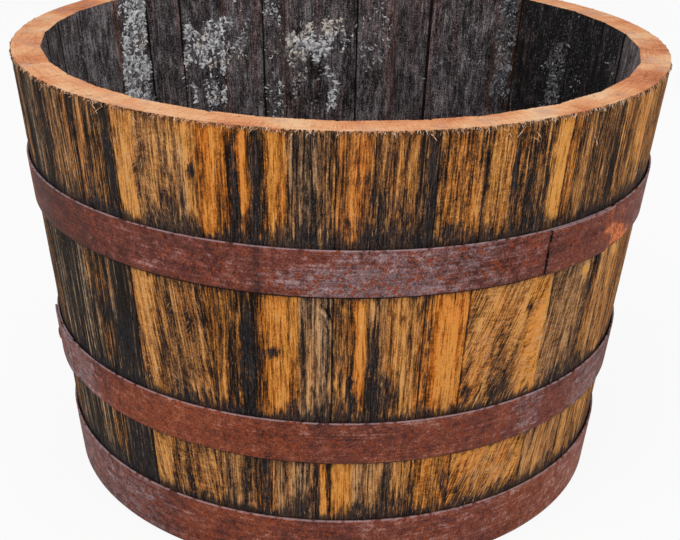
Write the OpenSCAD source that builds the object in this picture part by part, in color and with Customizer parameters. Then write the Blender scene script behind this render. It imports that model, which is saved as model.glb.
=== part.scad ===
// The lower half of an old oak cask, sawn across its widest point and used as a planter.
// It stands on the ends of its staves, +Z up, with the origin in the middle of its footprint.
// Directions round the cask are angles from the front (-Y), growing towards the right (+X).

/* [Cask] */
// Outside diameter across the sawn rim
rim_d = 660; // [500:1:800]
// Outside diameter across the foot
foot_d = 571; // [440:1:720]
// Height from the floor to the sawn rim
cask_h = 450; // [380:1:600]

/* [Staves] */
// Thickness of a stave at the middle of its flat inner face
stave_t = 31; // [24:0.5:40]
// Gap left in a joint between two staves, measured at the rim
joint_gap = 0.3; // [0.1:0.1:0.8]
// Wood left at the foot of a stave, where its inside is bevelled
chime_t = 18; // [12:0.5:22]
// Height of that bevel
bevel_h = 22; // [10:1:28]

/* [Head] */
// Height from the floor to the underside of the head
head_z = 32; // [30:1:60]
// Thickness of the head in its middle
head_t = 22; // [16:0.5:30]
// Thickness of the head's edge, which sits in the groove
head_edge_t = 5; // [3:0.5:8]
// Width of the long bevel round the underside of the head
under_bevel = 26; // [10:1:40]
// Width of the short bevel round the top of the head
top_bevel = 10; // [4:1:20]
// Depth of the groove in the staves that holds the head
croze_depth = 7; // [5.5:0.5:9]
// Play between the head's edge and its groove
head_play = 0.2; // [0.1:0.05:0.4]
// Gap left in a joint between two head boards
board_gap = 0.2; // [0.1:0.1:0.5]

/* [Dowels] */
// Diameter of the dowels between the head boards
dowel_d = 10; // [6:0.5:11]
// Length of a dowel
dowel_l = 40; // [25:1:50]
// Distance from the middle of a board joint to each of its dowels
dowel_x = 80; // [50:1:90]
// Play round a dowel, and past each of its ends
dowel_play = 0.05; // [0.02:0.01:0.15]

/* [Drain holes] */
// Diameter of a drain hole
drain_d = 20; // [10:0.5:25]
// Diameter of the circle that the outer drain holes lie on
drain_circle_d = 300; // [280:1:320]
// How many drain holes lie on that circle
drain_count = 4; // [2:1:6]

/* [Hoops] */
// Thickness of the hoop steel
hoop_t = 2; // [1.2:0.1:3]
// Play between a hoop and the staves, and between the two layers of its lap
hoop_play = 0.2; // [0.1:0.05:0.4]
// Height of the upper hoop's lower edge
upper_hoop_z = 301.5; // [260:0.5:330]
// Width of the upper hoop
upper_hoop_w = 44.5; // [30:0.5:48]
// Height of the middle hoop's lower edge
middle_hoop_z = 127.5; // [90:0.5:180]
// Width of the middle hoop
middle_hoop_w = 44.5; // [30:0.5:60]
// Height of the foot hoop's lower edge
foot_hoop_z = 1.5; // [0.5:0.5:10]
// Width of the foot hoop
foot_hoop_w = 58.5; // [40:0.5:70]
// Length over which the two ends of a hoop lie on each other
lap_l = 86; // [70:1:110]
// Length of the step where the outer end leaves the staves
joggle_l = 8; // [5:1:15]
// Gap between that step and the hoop's inner end
end_gap = 0.4; // [0.2:0.1:2]

/* [Rivets] */
// Diameter of a rivet's shank
rivet_d = 6; // [4:0.5:8]
// Diameter of a rivet's flat head
rivet_head_d = 13; // [10:0.5:16]
// Height of that head
rivet_head_h = 1.6; // [1:0.1:2.5]
// Distance from the end of the lap to its first rivet
rivet_inset = 24; // [14:1:28]
// Distance between the two rivets of a lap
rivet_pitch = 38; // [20:1:40]
// Play of a rivet's shank in its hole
rivet_play = 0.05; // [0.02:0.01:0.15]

/* [Hidden] */
$fn = 180;
past = 5; // how far a cut runs past the face that it starts from

// Angle where the first stave starts, then the angle that each stave fills, going round
first_joint = -62.7;
stave_arcs = [9, 9.5, 9, 15, 7.5, 12.5, 14.5, 7.5, 16.5, 11, 12.5, 11, 11.5, 12.5, 10.5, 11,
              16.5, 6, 17.5, 9, 9, 18, 5.5, 10, 11.5, 9.5, 9.5, 14.5, 9, 9, 12, 12.5];
// Tone of each stave: 0 blackened, 1 brown, 2 amber
stave_tones = [0, 0, 1, 2, 1, 1, 2, 2, 2, 1, 2, 1, 2, 1, 0, 1,
               2, 1, 1, 2, 0, 1, 1, 2, 1, 0, 2, 1, 1, 2, 1, 0];
tones = [[0.23, 0.19, 0.17], [0.47, 0.31, 0.17], [0.68, 0.44, 0.18]];

// Widths of the head boards, from front to back
board_widths = [104, 106, 104, 108, 106];

// Angle of the visible end of each hoop's lap
upper_lap_end = 35;
middle_lap_end = -76;
foot_lap_end = 150;

oak_pale = [0.72, 0.53, 0.33];
rust = [0.41, 0.2, 0.17];
rust_dark = [0.34, 0.16, 0.12];

taper = (rim_d - foot_d) / 2 / cask_h;
lean = atan(taper);
blank_t = 2 * stave_t; // thickness of the blank that a stave is cut from
croze_z = head_z + head_t / 2;
stave_share = 360 / sum_to(stave_arcs, len(stave_arcs));
board_share = 2 * head_r() / sum_to(board_widths, len(board_widths));

function sum_to(list, count) = count < 1 ? 0 : list[count - 1] + sum_to(list, count - 1);
function outer_r(z) = foot_d / 2 + taper * z;
function inner_r(z) = outer_r(z) - stave_t;
function groove_r() = inner_r(croze_z) + croze_depth;
function head_r() = groove_r() - head_play;
function single_face() = hoop_play + hoop_t;
function lap_face() = single_face() + hoop_play / 2 + hoop_t;
function joint_angle(i) = first_joint + stave_share * sum_to(stave_arcs, i);
function board_edge(i) = board_share * sum_to(board_widths, i) - head_r();
function arc_deg(length, r) = length / r * 180 / PI;
function two_digits(i) = str(i < 10 ? "0" : "", i);

// Turns its children from the +X axis to an angle from the front
module toward(angle) {
    rotate([0, 0, angle - 90]) children();
}

// Puts its children on the outside of the staves, with their +Z straight out of the wood
module on_staves(angle, z) {
    toward(angle) translate([outer_r(z), 0, z]) rotate([0, 90 + lean, 0]) children();
}

// One stave: round outside, flat inside, grooved for the head and bevelled at the foot
module stave(i) {
    start = joint_angle(i);
    end = joint_angle(i + 1);
    gap = arc_deg(joint_gap, rim_d / 2);
    color(tones[stave_tones[i]]) difference() {
        toward(start + gap / 2) rotate_extrude(angle = end - start - gap)
            polygon([[outer_r(0) - blank_t, 0], [outer_r(0), 0],
                     [outer_r(cask_h), cask_h], [outer_r(cask_h) - blank_t, cask_h]]);
        toward((start + end) / 2) flat_inside();
        translate([0, 0, croze_z - head_edge_t / 2 - head_play])
            cylinder(h = head_edge_t + 2 * head_play, r = groove_r());
        foot_bevel();
    }
}

// Everything on the inner side of a stave's flat face
module flat_inside() {
    depth = 2 * blank_t;
    width = rim_d / 2;
    translate([inner_r(0), 0, 0]) rotate([0, lean, 0]) translate([-depth, -width / 2, -past])
        cube([depth, width, cask_h / cos(lean) + 2 * past]);
}

// Cone that bevels the inside of the stave ends
module foot_bevel() {
    foot_r = outer_r(0) - chime_t;
    slope = (inner_r(bevel_h) - foot_r) / bevel_h;
    translate([0, 0, -past])
        cylinder(h = bevel_h + past, r1 = foot_r - slope * past, r2 = inner_r(bevel_h));
}

// The whole round head, thinned towards its edge
module head_round() {
    edge_low = croze_z - head_edge_t / 2;
    edge_high = croze_z + head_edge_t / 2;
    rotate_extrude() polygon([
        [0, head_z], [head_r() - under_bevel, head_z], [head_r(), edge_low],
        [head_r(), edge_high], [head_r() - top_bevel, head_z + head_t], [0, head_z + head_t]]);
}

// One board of the head, drilled for its dowels and for drainage
module head_board(i) {
    last = len(board_widths) - 1;
    low = i == 0 ? -rim_d : board_edge(i) + board_gap / 2;
    high = i == last ? rim_d : board_edge(i + 1) - board_gap / 2;
    color(oak_pale) difference() {
        intersection() {
            head_round();
            translate([-rim_d, low, 0]) cube([2 * rim_d, high - low, cask_h]);
        }
        if (i > 0) dowels_at(board_edge(i), dowel_play);
        if (i < last) dowels_at(board_edge(i + 1), dowel_play);
        drain_holes();
    }
}

// The two dowels across one board joint, grown all round by a play
module dowels_at(y, play) {
    for (x = [-dowel_x, dowel_x])
        translate([x, y, croze_z]) rotate([90, 0, 0])
            cylinder(h = dowel_l + 2 * play, d = dowel_d + 2 * play, center = true);
}

module head_dowels() {
    color(oak_pale) for (i = [1 : len(board_widths) - 1]) dowels_at(board_edge(i), 0);
}

module drain_holes() {
    drain_hole();
    for (i = [0 : drain_count - 1])
        rotate([0, 0, 45 + i * 360 / drain_count]) translate([drain_circle_d / 2, 0, 0])
            drain_hole();
}

module drain_hole() {
    translate([0, 0, head_z - past]) cylinder(h = head_t + 2 * past, d = drain_d);
}

// Part of a band round the staves, between two distances out from the wood
module band(start, arc, z, w, near, far) {
    toward(start) rotate_extrude(angle = arc)
        polygon([[outer_r(z) + near, z], [outer_r(z) + far, z],
                 [outer_r(z + w) + far, z + w], [outer_r(z + w) + near, z + w]]);
}

// A hoop is one strip: its outer end steps off the staves and laps over its inner end.
// It starts as a ring as thick as the lap, which is thinned where the strip lies singly.
module hoop(z, w, lap_end) {
    r = outer_r(z + w / 2);
    lap = arc_deg(lap_l, r);
    joggle = arc_deg(joggle_l, r);
    slit = arc_deg(hoop_play, r);
    inner_end = lap_end + lap - arc_deg(end_gap, r) - slit;
    single = single_face();
    cut_z = z - past;
    cut_w = w + 2 * past;
    color(rust) difference() {
        band(0, 360, z, w, hoop_play, lap_face());
        band(lap_end + lap + joggle, 360 - lap - joggle, cut_z, cut_w, single, lap_face() + past);
        band(lap_end, lap, cut_z, cut_w, single - hoop_play / 2, single + hoop_play / 2);
        band(inner_end, slit, cut_z, cut_w, hoop_play - past, single);
        lap_rivets(z, w, lap_end) rivet_hole();
    }
}

// Puts its children at the two rivets of a lap
module lap_rivets(z, w, lap_end) {
    middle = z + w / 2;
    for (along = [rivet_inset, rivet_inset + rivet_pitch])
        on_staves(lap_end + arc_deg(along, outer_r(middle)), middle) children();
}

module rivet_hole() {
    cylinder(h = 2 * hoop_t + 2 * past, d = rivet_d + 2 * rivet_play);
}

module rivet() {
    head_end_d = rivet_head_d - 2 * rivet_head_h;
    translate([0, 0, hoop_play])
        cylinder(h = lap_face() - hoop_play + rivet_head_h / 2, d = rivet_d);
    translate([0, 0, lap_face()])
        cylinder(h = rivet_head_h, d1 = rivet_head_d, d2 = head_end_d);
}

for (i = [0 : len(stave_arcs) - 1])
    stave(i);
for (i = [0 : len(board_widths) - 1])
    head_board(i);
head_dowels();
hoop(upper_hoop_z, upper_hoop_w, upper_lap_end);  // upper_hoop
hoop(middle_hoop_z, middle_hoop_w, middle_lap_end);  // middle_hoop
hoop(foot_hoop_z, foot_hoop_w, foot_lap_end);  // foot_hoop
color(rust_dark) lap_rivets(upper_hoop_z, upper_hoop_w, upper_lap_end) rivet();  // upper_hoop_rivets
color(rust_dark) lap_rivets(middle_hoop_z, middle_hoop_w, middle_lap_end) rivet();  // middle_hoop_rivets
color(rust_dark) lap_rivets(foot_hoop_z, foot_hoop_w, foot_lap_end) rivet();  // foot_hoop_rivets
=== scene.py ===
import math
from types import SimpleNamespace

import bmesh
import bpy
import numpy as np
from mathutils import Matrix, Vector


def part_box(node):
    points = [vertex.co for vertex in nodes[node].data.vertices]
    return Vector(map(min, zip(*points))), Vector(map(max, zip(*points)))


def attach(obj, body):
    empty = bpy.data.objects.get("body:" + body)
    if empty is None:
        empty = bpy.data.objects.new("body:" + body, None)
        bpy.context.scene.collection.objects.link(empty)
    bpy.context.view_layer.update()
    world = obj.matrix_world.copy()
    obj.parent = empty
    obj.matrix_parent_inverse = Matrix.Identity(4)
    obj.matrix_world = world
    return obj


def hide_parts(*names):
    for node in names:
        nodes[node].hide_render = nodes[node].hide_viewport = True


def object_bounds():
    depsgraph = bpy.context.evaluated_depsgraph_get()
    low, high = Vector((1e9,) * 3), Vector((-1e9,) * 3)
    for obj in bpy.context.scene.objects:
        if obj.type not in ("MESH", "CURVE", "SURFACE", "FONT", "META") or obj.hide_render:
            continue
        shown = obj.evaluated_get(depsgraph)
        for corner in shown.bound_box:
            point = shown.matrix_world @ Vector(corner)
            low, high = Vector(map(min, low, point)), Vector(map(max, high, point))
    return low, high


# Half of an old oak cask: sawn rim, weathered staves, charred inside, rusty hoops.
# Directions round the cask are angles in degrees from the front (-Y) towards the right (+X).
# Meshes are worked out in millimetres and written in metres.

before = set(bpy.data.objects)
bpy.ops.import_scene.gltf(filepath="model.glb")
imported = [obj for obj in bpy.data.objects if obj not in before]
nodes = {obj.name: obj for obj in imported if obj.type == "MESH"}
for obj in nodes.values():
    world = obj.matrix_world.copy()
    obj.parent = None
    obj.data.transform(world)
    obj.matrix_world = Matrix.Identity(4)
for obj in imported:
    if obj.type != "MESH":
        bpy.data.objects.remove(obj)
cadLow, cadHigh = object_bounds()
mm = .001


# Numbers and noise

def smooth(t):
    t = np.clip(t, 0, 1)
    return t * t * (3 - 2 * t)


def between(value, low, high, edge):
    # 1 between low and high, fading over edge at both ends
    return smooth((value - low) / edge + .5) * smooth((high - value) / edge + .5)


def lattice(x, y, seed):
    # smooth random values in 0..1, one for each whole step of x and y
    x, y = np.broadcast_arrays(np.asarray(x, float), np.asarray(y, float))
    cellX, cellY = np.floor(x).astype(np.int64), np.floor(y).astype(np.int64)
    partX, partY = smooth(x - cellX), smooth(y - cellY)

    def corner(stepX, stepY):
        n = (cellX + stepX) * 374761393 + (cellY + stepY) * 668265263 + seed * 974634777
        n = (n ^ (n >> 13)) * 1274126177
        n = n ^ (n >> 16)
        return (n & 0xffff) / 0xffff

    low = corner(0, 0) * (1 - partX) + corner(1, 0) * partX
    high = corner(0, 1) * (1 - partX) + corner(1, 1) * partX
    return low * (1 - partY) + high * partY


def layered(x, y, seed, layers=3):
    total, weight = 0, 0
    for layer in range(layers):
        share = .5 ** layer
        total = total + share * lattice(x * 2 ** layer, y * 2 ** layer, seed + layer * 17)
        weight += share
    return total / weight


def turned(angle, start=-70):
    # the same direction, counted from start to start + 360
    return (angle - start) % 360 + start


def roundPlace(angle, radius, z):
    turn = np.radians(angle)
    return np.stack([radius * np.sin(turn), -radius * np.cos(turn), z + 0 * radius], -1) * mm


def directionsOf(angle):
    # away from the axis, and sideways round the cask
    turn = math.radians(angle)
    return np.array([math.sin(turn), -math.cos(turn), 0]), np.array([math.cos(turn), math.sin(turn), 0])


# Meshes and pieces

def placeObject(name, data):
    placed = bpy.data.objects.new(name, data)
    bpy.context.scene.collection.objects.link(placed)
    return placed


def newMesh(name, points, edges=(), faces=()):
    mesh = bpy.data.meshes.new(name)
    mesh.from_pydata(points, edges, faces)
    return mesh


def soften(mesh, sharpAngle=None):
    mesh.polygons.foreach_set("use_smooth", np.ones(len(mesh.polygons), bool))
    if sharpAngle:
        mesh.set_sharp_from_angle(angle=math.radians(sharpAngle))
    mesh.update()


def readVectors(items, name):
    values = np.zeros(len(items) * 3)
    items.foreach_get(name, values)
    return values.reshape(-1, 3)


def store(mesh, name, values):
    # one number or three for each point, kept as an attribute
    values = np.asarray(values, np.float32).ravel()
    vector = len(values) == 3 * len(mesh.vertices)
    layer = mesh.attributes.new(name, "FLOAT_VECTOR" if vector else "FLOAT", "POINT")
    layer.data.foreach_set("vector" if vector else "value", values)


def tubeFaces(index):
    # faces between each ring of points and the next
    beside = np.roll(index, -1, 1)
    return np.stack([index[:-1], index[1:], beside[1:], beside[:-1]], -1).reshape(-1, 4).tolist()


def gridsToMesh(name, parts, labels):
    # one open mesh of several grids of points, with their values as attributes
    points, faces, values = [], [], []
    for grid, gridValues in parts:
        index = np.arange(grid[..., 0].size).reshape(grid.shape[:2]) + len(points)
        quads = np.stack([index[:-1, :-1], index[1:, :-1], index[1:, 1:], index[:-1, 1:]], -1)
        points.extend(grid.reshape(-1, 3).tolist())
        faces.extend(quads.reshape(-1, 4).tolist())
        values.append(gridValues.reshape(-1, len(labels)))
    seedObject = placeObject(name, newMesh(name, points, (), faces))
    for label, column in zip(labels, np.concatenate(values).T):
        store(seedObject.data, label, column)
    return seedObject


def finishPiece(piece, slot, *stoodFor):
    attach(piece, "root")
    if stoodFor:
        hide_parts(*stoodFor)


# Node trees

class Wire:
    # a value in a node tree; sums and products of values make its math nodes
    def __init__(self, tree, socket):
        self.tree, self.socket = tree, socket

    def __add__(self, other):
        return calc("ADD", self, other)

    def __sub__(self, other):
        return calc("SUBTRACT", self, other)

    def __rsub__(self, other):
        return calc("SUBTRACT", other, self)

    def __mul__(self, other):
        return calc("MULTIPLY", self, other)

    def beside(self, output):
        # another output of the same node
        return Wire(self.tree, self.socket.node.outputs[output])


def put(tree, kind, inputs=None, **settings):
    node = tree.nodes.new(kind)
    for name, value in settings.items():
        setattr(node, name, value)
    for key, value in (inputs or {}).items():
        if isinstance(value, Wire):
            tree.links.new(value.socket, node.inputs[key])
        else:
            node.inputs[key].default_value = value
    return node


def source(tree, kind, output=0, inputs=None, **settings):
    return Wire(tree, put(tree, kind, inputs, **settings).outputs[output])


def flow(kind, inputs, output=0, **settings):
    # a node in the tree that its inputs come from
    tree = next(value.tree for value in inputs.values() if isinstance(value, Wire))
    return source(tree, kind, output, inputs, **settings)


def calc(operation, *values, clamp=False):
    return flow("ShaderNodeMath", dict(enumerate(values)), operation=operation, use_clamp=clamp)


def vectorCalc(operation, first, second):
    return flow("ShaderNodeVectorMath", {0: first, 1: second}, operation=operation)


def scaled(vector, amount):
    return flow("ShaderNodeVectorMath", {0: vector, "Scale": amount}, operation="SCALE")


def combine(x=0.0, y=0.0, z=0.0):
    return flow("ShaderNodeCombineXYZ", {0: x, 1: y, 2: z})


def split(vector):
    return [Wire(vector.tree, socket) for socket in put(vector.tree, "ShaderNodeSeparateXYZ", {0: vector}).outputs]


def noiseOf(at, stretch, detail=3.0, roughness=.55, distortion=0.0):
    spread = vectorCalc("MULTIPLY", at, stretch if isinstance(stretch, tuple) else (stretch,) * 3)
    return flow("ShaderNodeTexNoise", {"Vector": spread, "Scale": 1.0, "Detail": detail, "Roughness": roughness,
                                       "Distortion": distortion}, "Fac")


def swing(fac, amount):
    # noise about zero, times an amount
    return (fac - .5) * amount


def mapped(value, low, high, first, last, kind="LINEAR"):
    return flow("ShaderNodeMapRange", {"Value": value, "From Min": low, "From Max": high, "To Min": first,
                                       "To Max": last}, "Result", interpolation_type=kind)


def stepUp(value, low, high):
    return mapped(value, low, high, 0.0, 1.0, "SMOOTHSTEP")


def blendColour(share, first, second, kind="MIX"):
    first, second = ((*colour, 1) if isinstance(colour, tuple) else colour for colour in (first, second))
    return flow("ShaderNodeMix", {0: share, 6: first, 7: second}, 2, data_type="RGBA", blend_type=kind)


def tinted(colour, tone):
    return blendColour(1.0, colour, tone, "MULTIPLY")


def rampOf(value, stops):
    ramp = flow("ShaderNodeValToRGB", {"Fac": value}, "Color")
    points = ramp.socket.node.color_ramp.elements
    while len(points) < len(stops):
        points.new(1)
    for point, (at, colour) in zip(points, stops):
        point.position = at
        point.color = (*colour, 1)
    return ramp


def attributeOf(tree, name, output="Fac"):
    return source(tree, "ShaderNodeAttribute", output, attribute_name=name)


def objectPlace(tree):
    return source(tree, "ShaderNodeTexCoord", "Object")


def newMaterial(name, specular, roughness):
    material = bpy.data.materials.new(name)
    material.use_nodes = True
    inputs = material.node_tree.nodes["Principled BSDF"].inputs
    inputs["Roughness"].default_value = roughness
    inputs["Specular IOR Level"].default_value = specular
    return material, material.node_tree


def endMaterial(material, colour, height=None, depth=.001, strength=1.0, roughness=None):
    wires = {"Base Color": colour, "Roughness": roughness}
    if height:
        wires["Normal"] = flow("ShaderNodeBump", {"Height": height, "Distance": depth, "Strength": strength})
    for name, wire in wires.items():
        if wire:
            material.node_tree.links.new(wire.socket, material.node_tree.nodes["Principled BSDF"].inputs[name])
    return material


# Geometry trees

def newTree(name, settings):
    # a tree with one input for each setting, besides the geometry and the material
    tree = bpy.data.node_groups.new(name, "GeometryNodeTree")
    tree.is_modifier = True
    kinds = {label: "Int" if isinstance(value, int) else "Float" for label, value in settings.items()}
    kinds = {"Geometry": "Geometry", **kinds, "Material": "Material"}
    for label, kind in kinds.items():
        tree.interface.new_socket(label, in_out="INPUT", socket_type="NodeSocket" + kind)
    tree.interface.new_socket("Geometry", in_out="OUTPUT", socket_type="NodeSocketGeometry")
    given = put(tree, "NodeGroupInput").outputs
    return tree, {label: Wire(tree, given[label]) for label in kinds}


def endTree(geometry, material):
    real = flow("GeometryNodeRealizeInstances", {0: geometry})
    painted = flow("GeometryNodeSetMaterial", {"Geometry": real, "Material": material})
    put(geometry.tree, "NodeGroupOutput", {0: painted})
    return geometry.tree


def grow(seedObject, name, tree, values, material, sharpAngle=50):
    # runs a tree on an object and keeps the plain mesh that comes out
    values = {**values, "Material": material}
    modifier = seedObject.modifiers.new(tree.name, "NODES")
    modifier.node_group = tree
    for item in tree.interface.items_tree:
        if item.in_out == "INPUT" and item.name in values:
            modifier[item.identifier] = values[item.name]
    graph = bpy.context.evaluated_depsgraph_get()
    mesh = bpy.data.meshes.new_from_object(seedObject.evaluated_get(graph))
    mesh.name = name
    seedObject.modifiers.clear()
    bpy.data.objects.remove(seedObject)
    soften(mesh, sharpAngle)
    return placeObject(name, mesh)


def named(tree, name, kind="FLOAT"):
    return source(tree, "GeometryNodeInputNamedAttribute", 0, {"Name": name}, data_type=kind)


def randomOf(tree, low, high, seed, kind="FLOAT"):
    first, output = (2, 1) if kind == "FLOAT" else (0, 0)
    return source(tree, "FunctionNodeRandomValue", output, {first: low, first + 1: high, "Seed": seed},
                  data_type=kind)


def positionIn(tree):
    return source(tree, "GeometryNodeInputPosition")


def directionsAt(tree):
    # away from the axis, and sideways round the cask
    flat = vectorCalc("MULTIPLY", positionIn(tree), (1, 1, 0))
    outward = vectorCalc("NORMALIZE", flat, (0, 0, 0))
    return outward, vectorCalc("CROSS_PRODUCT", (0, 0, 1), outward)


def aimed(aim, axis="Z", rotation=None, pivot="AUTO"):
    # a rotation that points an axis along a direction
    inputs = {"Vector": aim}
    if rotation:
        inputs["Rotation"] = rotation
    return flow("FunctionNodeAlignRotationToVector", inputs, axis=axis, pivot_axis=pivot)


def moved(geometry, offset):
    return flow("GeometryNodeSetPosition", {"Geometry": geometry, "Offset": offset})


def strewn(given, density):
    return flow("GeometryNodeDistributePointsOnFaces", {
        "Mesh": given["Geometry"], "Density": density, "Seed": given["seed"]}, "Points")


def scatter(points, instance, rotation, size, tint=None):
    # copies of a piece on points, each with a tint of its own
    placed = flow("GeometryNodeInstanceOnPoints", {
        "Points": points, "Instance": instance, "Rotation": rotation, "Scale": size})
    if tint:
        placed = flow("GeometryNodeStoreNamedAttribute", {"Geometry": placed, "Name": "tint", "Value": tint},
                      data_type="FLOAT", domain="INSTANCE")
    return flow("GeometryNodeRealizeInstances", {0: placed})


def dented(geometry, stretch, amount):
    # pushes a surface in and out along its normals
    push = swing(noiseOf(positionIn(geometry.tree), stretch, 2), amount)
    return moved(geometry, scaled(source(geometry.tree, "GeometryNodeInputNormal"), push))


def holdIn(geometry, given):
    # moves anything that stands out too far back to the reach and the top
    x, y, z = split(positionIn(geometry.tree))
    away = calc("SQRT", x * x + y * y)
    share = calc("MINIMUM", calc("DIVIDE", given["reach"], away), 1.0)
    held = combine(x * share, y * share, calc("MINIMUM", z, given["top"]))
    return flow("GeometryNodeSetPosition", {"Geometry": geometry, "Position": held})


# Camera: the photograph's place and direction

cameraView = {
    "place": (.0038, -1.2134, .7259),
    "lookingDown": 23.99,   # degrees
    "roll": 1.28,           # degrees
    "lens": 63.12,          # mm, on a 36 mm sensor
}


def makeCamera():
    down, roll = math.radians(cameraView["lookingDown"]), math.radians(cameraView["roll"])
    forward = Vector((0, math.cos(down), -math.sin(down)))
    level = Vector((1, 0, 0))
    upright = level.cross(forward)
    across = level * math.cos(roll) + upright * math.sin(roll)
    upwards = upright * math.cos(roll) - level * math.sin(roll)
    turn = Matrix((across, upwards, -forward)).transposed()
    data = bpy.data.cameras.new("camera")
    data.lens = cameraView["lens"]
    data.sensor_width = 36
    data.sensor_fit = "HORIZONTAL"
    data.clip_start = .05
    data.clip_end = 50
    camera = placeObject("camera", data)
    camera.matrix_world = Matrix.Translation(cameraView["place"]) @ turn.to_4x4()
    bpy.context.scene.camera = camera


makeCamera()
print("camera placed")


# Sizes read from the frame, in mm

staveNames = sorted(name for name in nodes if name.startswith("stave_"))


def cornersOf(node):
    return readVectors(nodes[node].data.vertices, "co") / mm


def staveSpan(node):
    # angles where a stave starts and ends, and how far its flat inside lies from the axis
    places = cornersOf(node)
    top = places[places[:, 2] > places[:, 2].max() - .1]
    turns = np.arctan2(top[:, 0], -top[:, 1])
    radii = np.hypot(top[:, 0], top[:, 1])
    middle = math.degrees(math.atan2(np.sin(turns).mean(), np.cos(turns).mean()))
    off = turned(np.degrees(turns) - middle, -180)
    start, end = middle + off.min(), middle + off.max()
    flat = (radii * np.cos(turns - math.radians((start + end) / 2))).min()
    return start, end, flat


spans = {name: staveSpan(name) for name in staveNames}
firstStave = cornersOf(staveNames[0])
caskHeight = cadHigh.z / mm
rimRadius = np.hypot(*firstStave[firstStave[:, 2] > caskHeight - .1][:, :2].T).max()
footRadius = np.hypot(*firstStave[firstStave[:, 2] < .1][:, :2].T).max()
taper = (rimRadius - footRadius) / caskHeight
staveThick = rimRadius - min(span[2] for span in spans.values())
crozeZ = sum(corner.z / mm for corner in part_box("head_board_3")) / 2
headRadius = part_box("head_board_3")[1].x / mm
hoopNames = ("upper_hoop", "middle_hoop", "foot_hoop")
hoopHeights = {name: [corner.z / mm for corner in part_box(name)] for name in hoopNames}
limits = {"reach": 329.7 * mm, "top": 449.8 * mm}   # nothing loose goes farther out or higher


def outerRadius(z):
    return footRadius + taper * z


# Wood tones, as the photograph shows them

# Lightness of each stave above the upper hoop, between the hoops and above the foot hoop
# (0 black, 1 pale gold), then how grey it is. A stave that isn't here gets a chance tone.
staveTones = {
    31: (.36, .32, .30, .45),
    32: (.32, .26, .28, .45),
    1: (.31, .17, .34, .50),
    2: (.38, .17, .17, .45),
    3: (.32, .15, .18, .40),
    4: (.66, .46, .56, .12),
    5: (.58, .42, .62, .08),
    6: (.56, .62, .60, .20),
    7: (.57, .58, .68, .15),
    8: (.44, .74, .56, .05),
    9: (.53, .73, .77, .10),
    10: (.42, .62, .72, .35),
    11: (.64, .64, .68, .22),
    12: (.58, .56, .58, .20),
    13: (.48, .52, .52, .25),
}

# Streaks in the wood: from angle, to angle, from height, to height, change of tone
streaks = [
    (21, 21.5, 346, 450, .4), (14.9, 15.3, 380, 450, .2), (36.1, 36.5, 346, 450, -.5), (34.2, 34.8, 346, 450, .3),
    (-22.8, -22.4, 180, 300, -.3), (-32.6, -32.2, 172, 300, .2), (-9.2, -8.8, 346, 440, .3), (10.8, 11.2, 60, 300, .2),
    (37.4, 37.9, 172, 300, .3), (19.4, 19.8, 172, 300, .3), (-13.6, -13.2, 346, 450, .4), (3.9, 4.3, 172, 300, .3),
    (24.4, 24.9, 60, 300, -.2), (-46.2, -45.8, 346, 450, .3), (-57.6, -57.2, 346, 450, .3), (58.2, 58.8, 60, 450, .2),
    (-47.3, -42.6, 255, 290, .14), (-46.3, -42.1, 188, 225, .14), (-46.8, -42.6, 83, 126, .14),
    (-63.5, -61.5, 340, 450, -.3), (-60, -57.5, 350, 450, .14), (-55, -53.2, 0, 450, -.3),
    (-51, -48, 0, 450, .14), (-50, -48.6, 60, 300, .12), (-47, -44.6, 350, 450, .05),
    (-45, -43.8, 346, 450, -.3), (-44.4, -36, 172, 244, -.12), (-43.4, -41.5, 350, 450, .16),
    (-39.5, -35.2, 0, 450, -.22), (-35.2, -31.2, 346, 450, .2), (-35.2, -31, 0, 300, .26), (-30.6, -29.2, 60, 250, -.3),
    (-29, -26.8, 180, 300, .12), (-27.2, -25.6, 346, 376, -.1), (-24.4, -21.8, 200, 300, .14),
    (-24, -22.6, 372, 425, -.16), (-28.5, -24, 60, 110, -.12), (-20, -17, 346, 450, .1),
    (-17.4, -15.8, 180, 300, -.22), (-15.8, -13.9, 340, 450, -.42), (-13.9, -12.7, 340, 450, .16),
    (-15.2, -12.7, 130, 300, -.36), (-14.4, -12.7, 60, 128, -.34), (-12.7, -10.2, 335, 450, -.5),
    (-12.7, -11, 130, 300, -.4), (-10.2, -7.4, 346, 450, .26), (-10.4, -7.2, 180, 300, .14),
    (-12.7, -10.6, 60, 128, -.3), (-1.2, -.2, 346, 450, -.34), (-1, -.2, 60, 128, -.2), (-3.2, -2.4, 60, 128, -.4),
    (-2.2, -1, 60, 128, .3), (.8, 4.4, 346, 450, .08), (5, 8.4, 346, 450, -.12),
    (8.4, 11, 346, 450, .06), (11.6, 14.3, 330, 450, -.44), (-.2, 1.6, 180, 300, .08),
    (2, 3, 170, 300, -.22), (3.2, 4.8, 200, 300, .18), (5.4, 7.6, 175, 262, -.34),
    (9, 13.6, 200, 300, .14), (4, 11, 165, 200, -.24), (.2, 3.8, 60, 128, .24),
    (8.6, 12.6, 60, 104, -.34), (14.3, 16.4, 170, 300, -.16), (17, 21.2, 170, 300, .12),
    (15.4, 21, 60, 128, .08), (14.3, 15.6, 346, 450, -.2), (18.4, 19.4, 346, 450, -.14),
    (21.8, 23.2, 150, 300, -.12), (26, 33, 346, 450, -.34), (33.4, 36.3, 330, 450, .36),
    (36.2, 38.2, 340, 450, .06), (24, 28.5, 215, 300, .1), (27, 32.4, 165, 216, -.34),
    (34, 38.2, 160, 300, .2), (21.8, 26, 60, 82, -.24), (27, 33, 60, 128, .1),
    (43.4, 45, 346, 450, -.12), (47.4, 49.3, 0, 450, -.2), (40, 42, 346, 450, .08),
    (57, 60.4, 346, 450, .22), (49.3, 51.4, 262, 304, -.5), (52, 56, 180, 300, .12),
]

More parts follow.
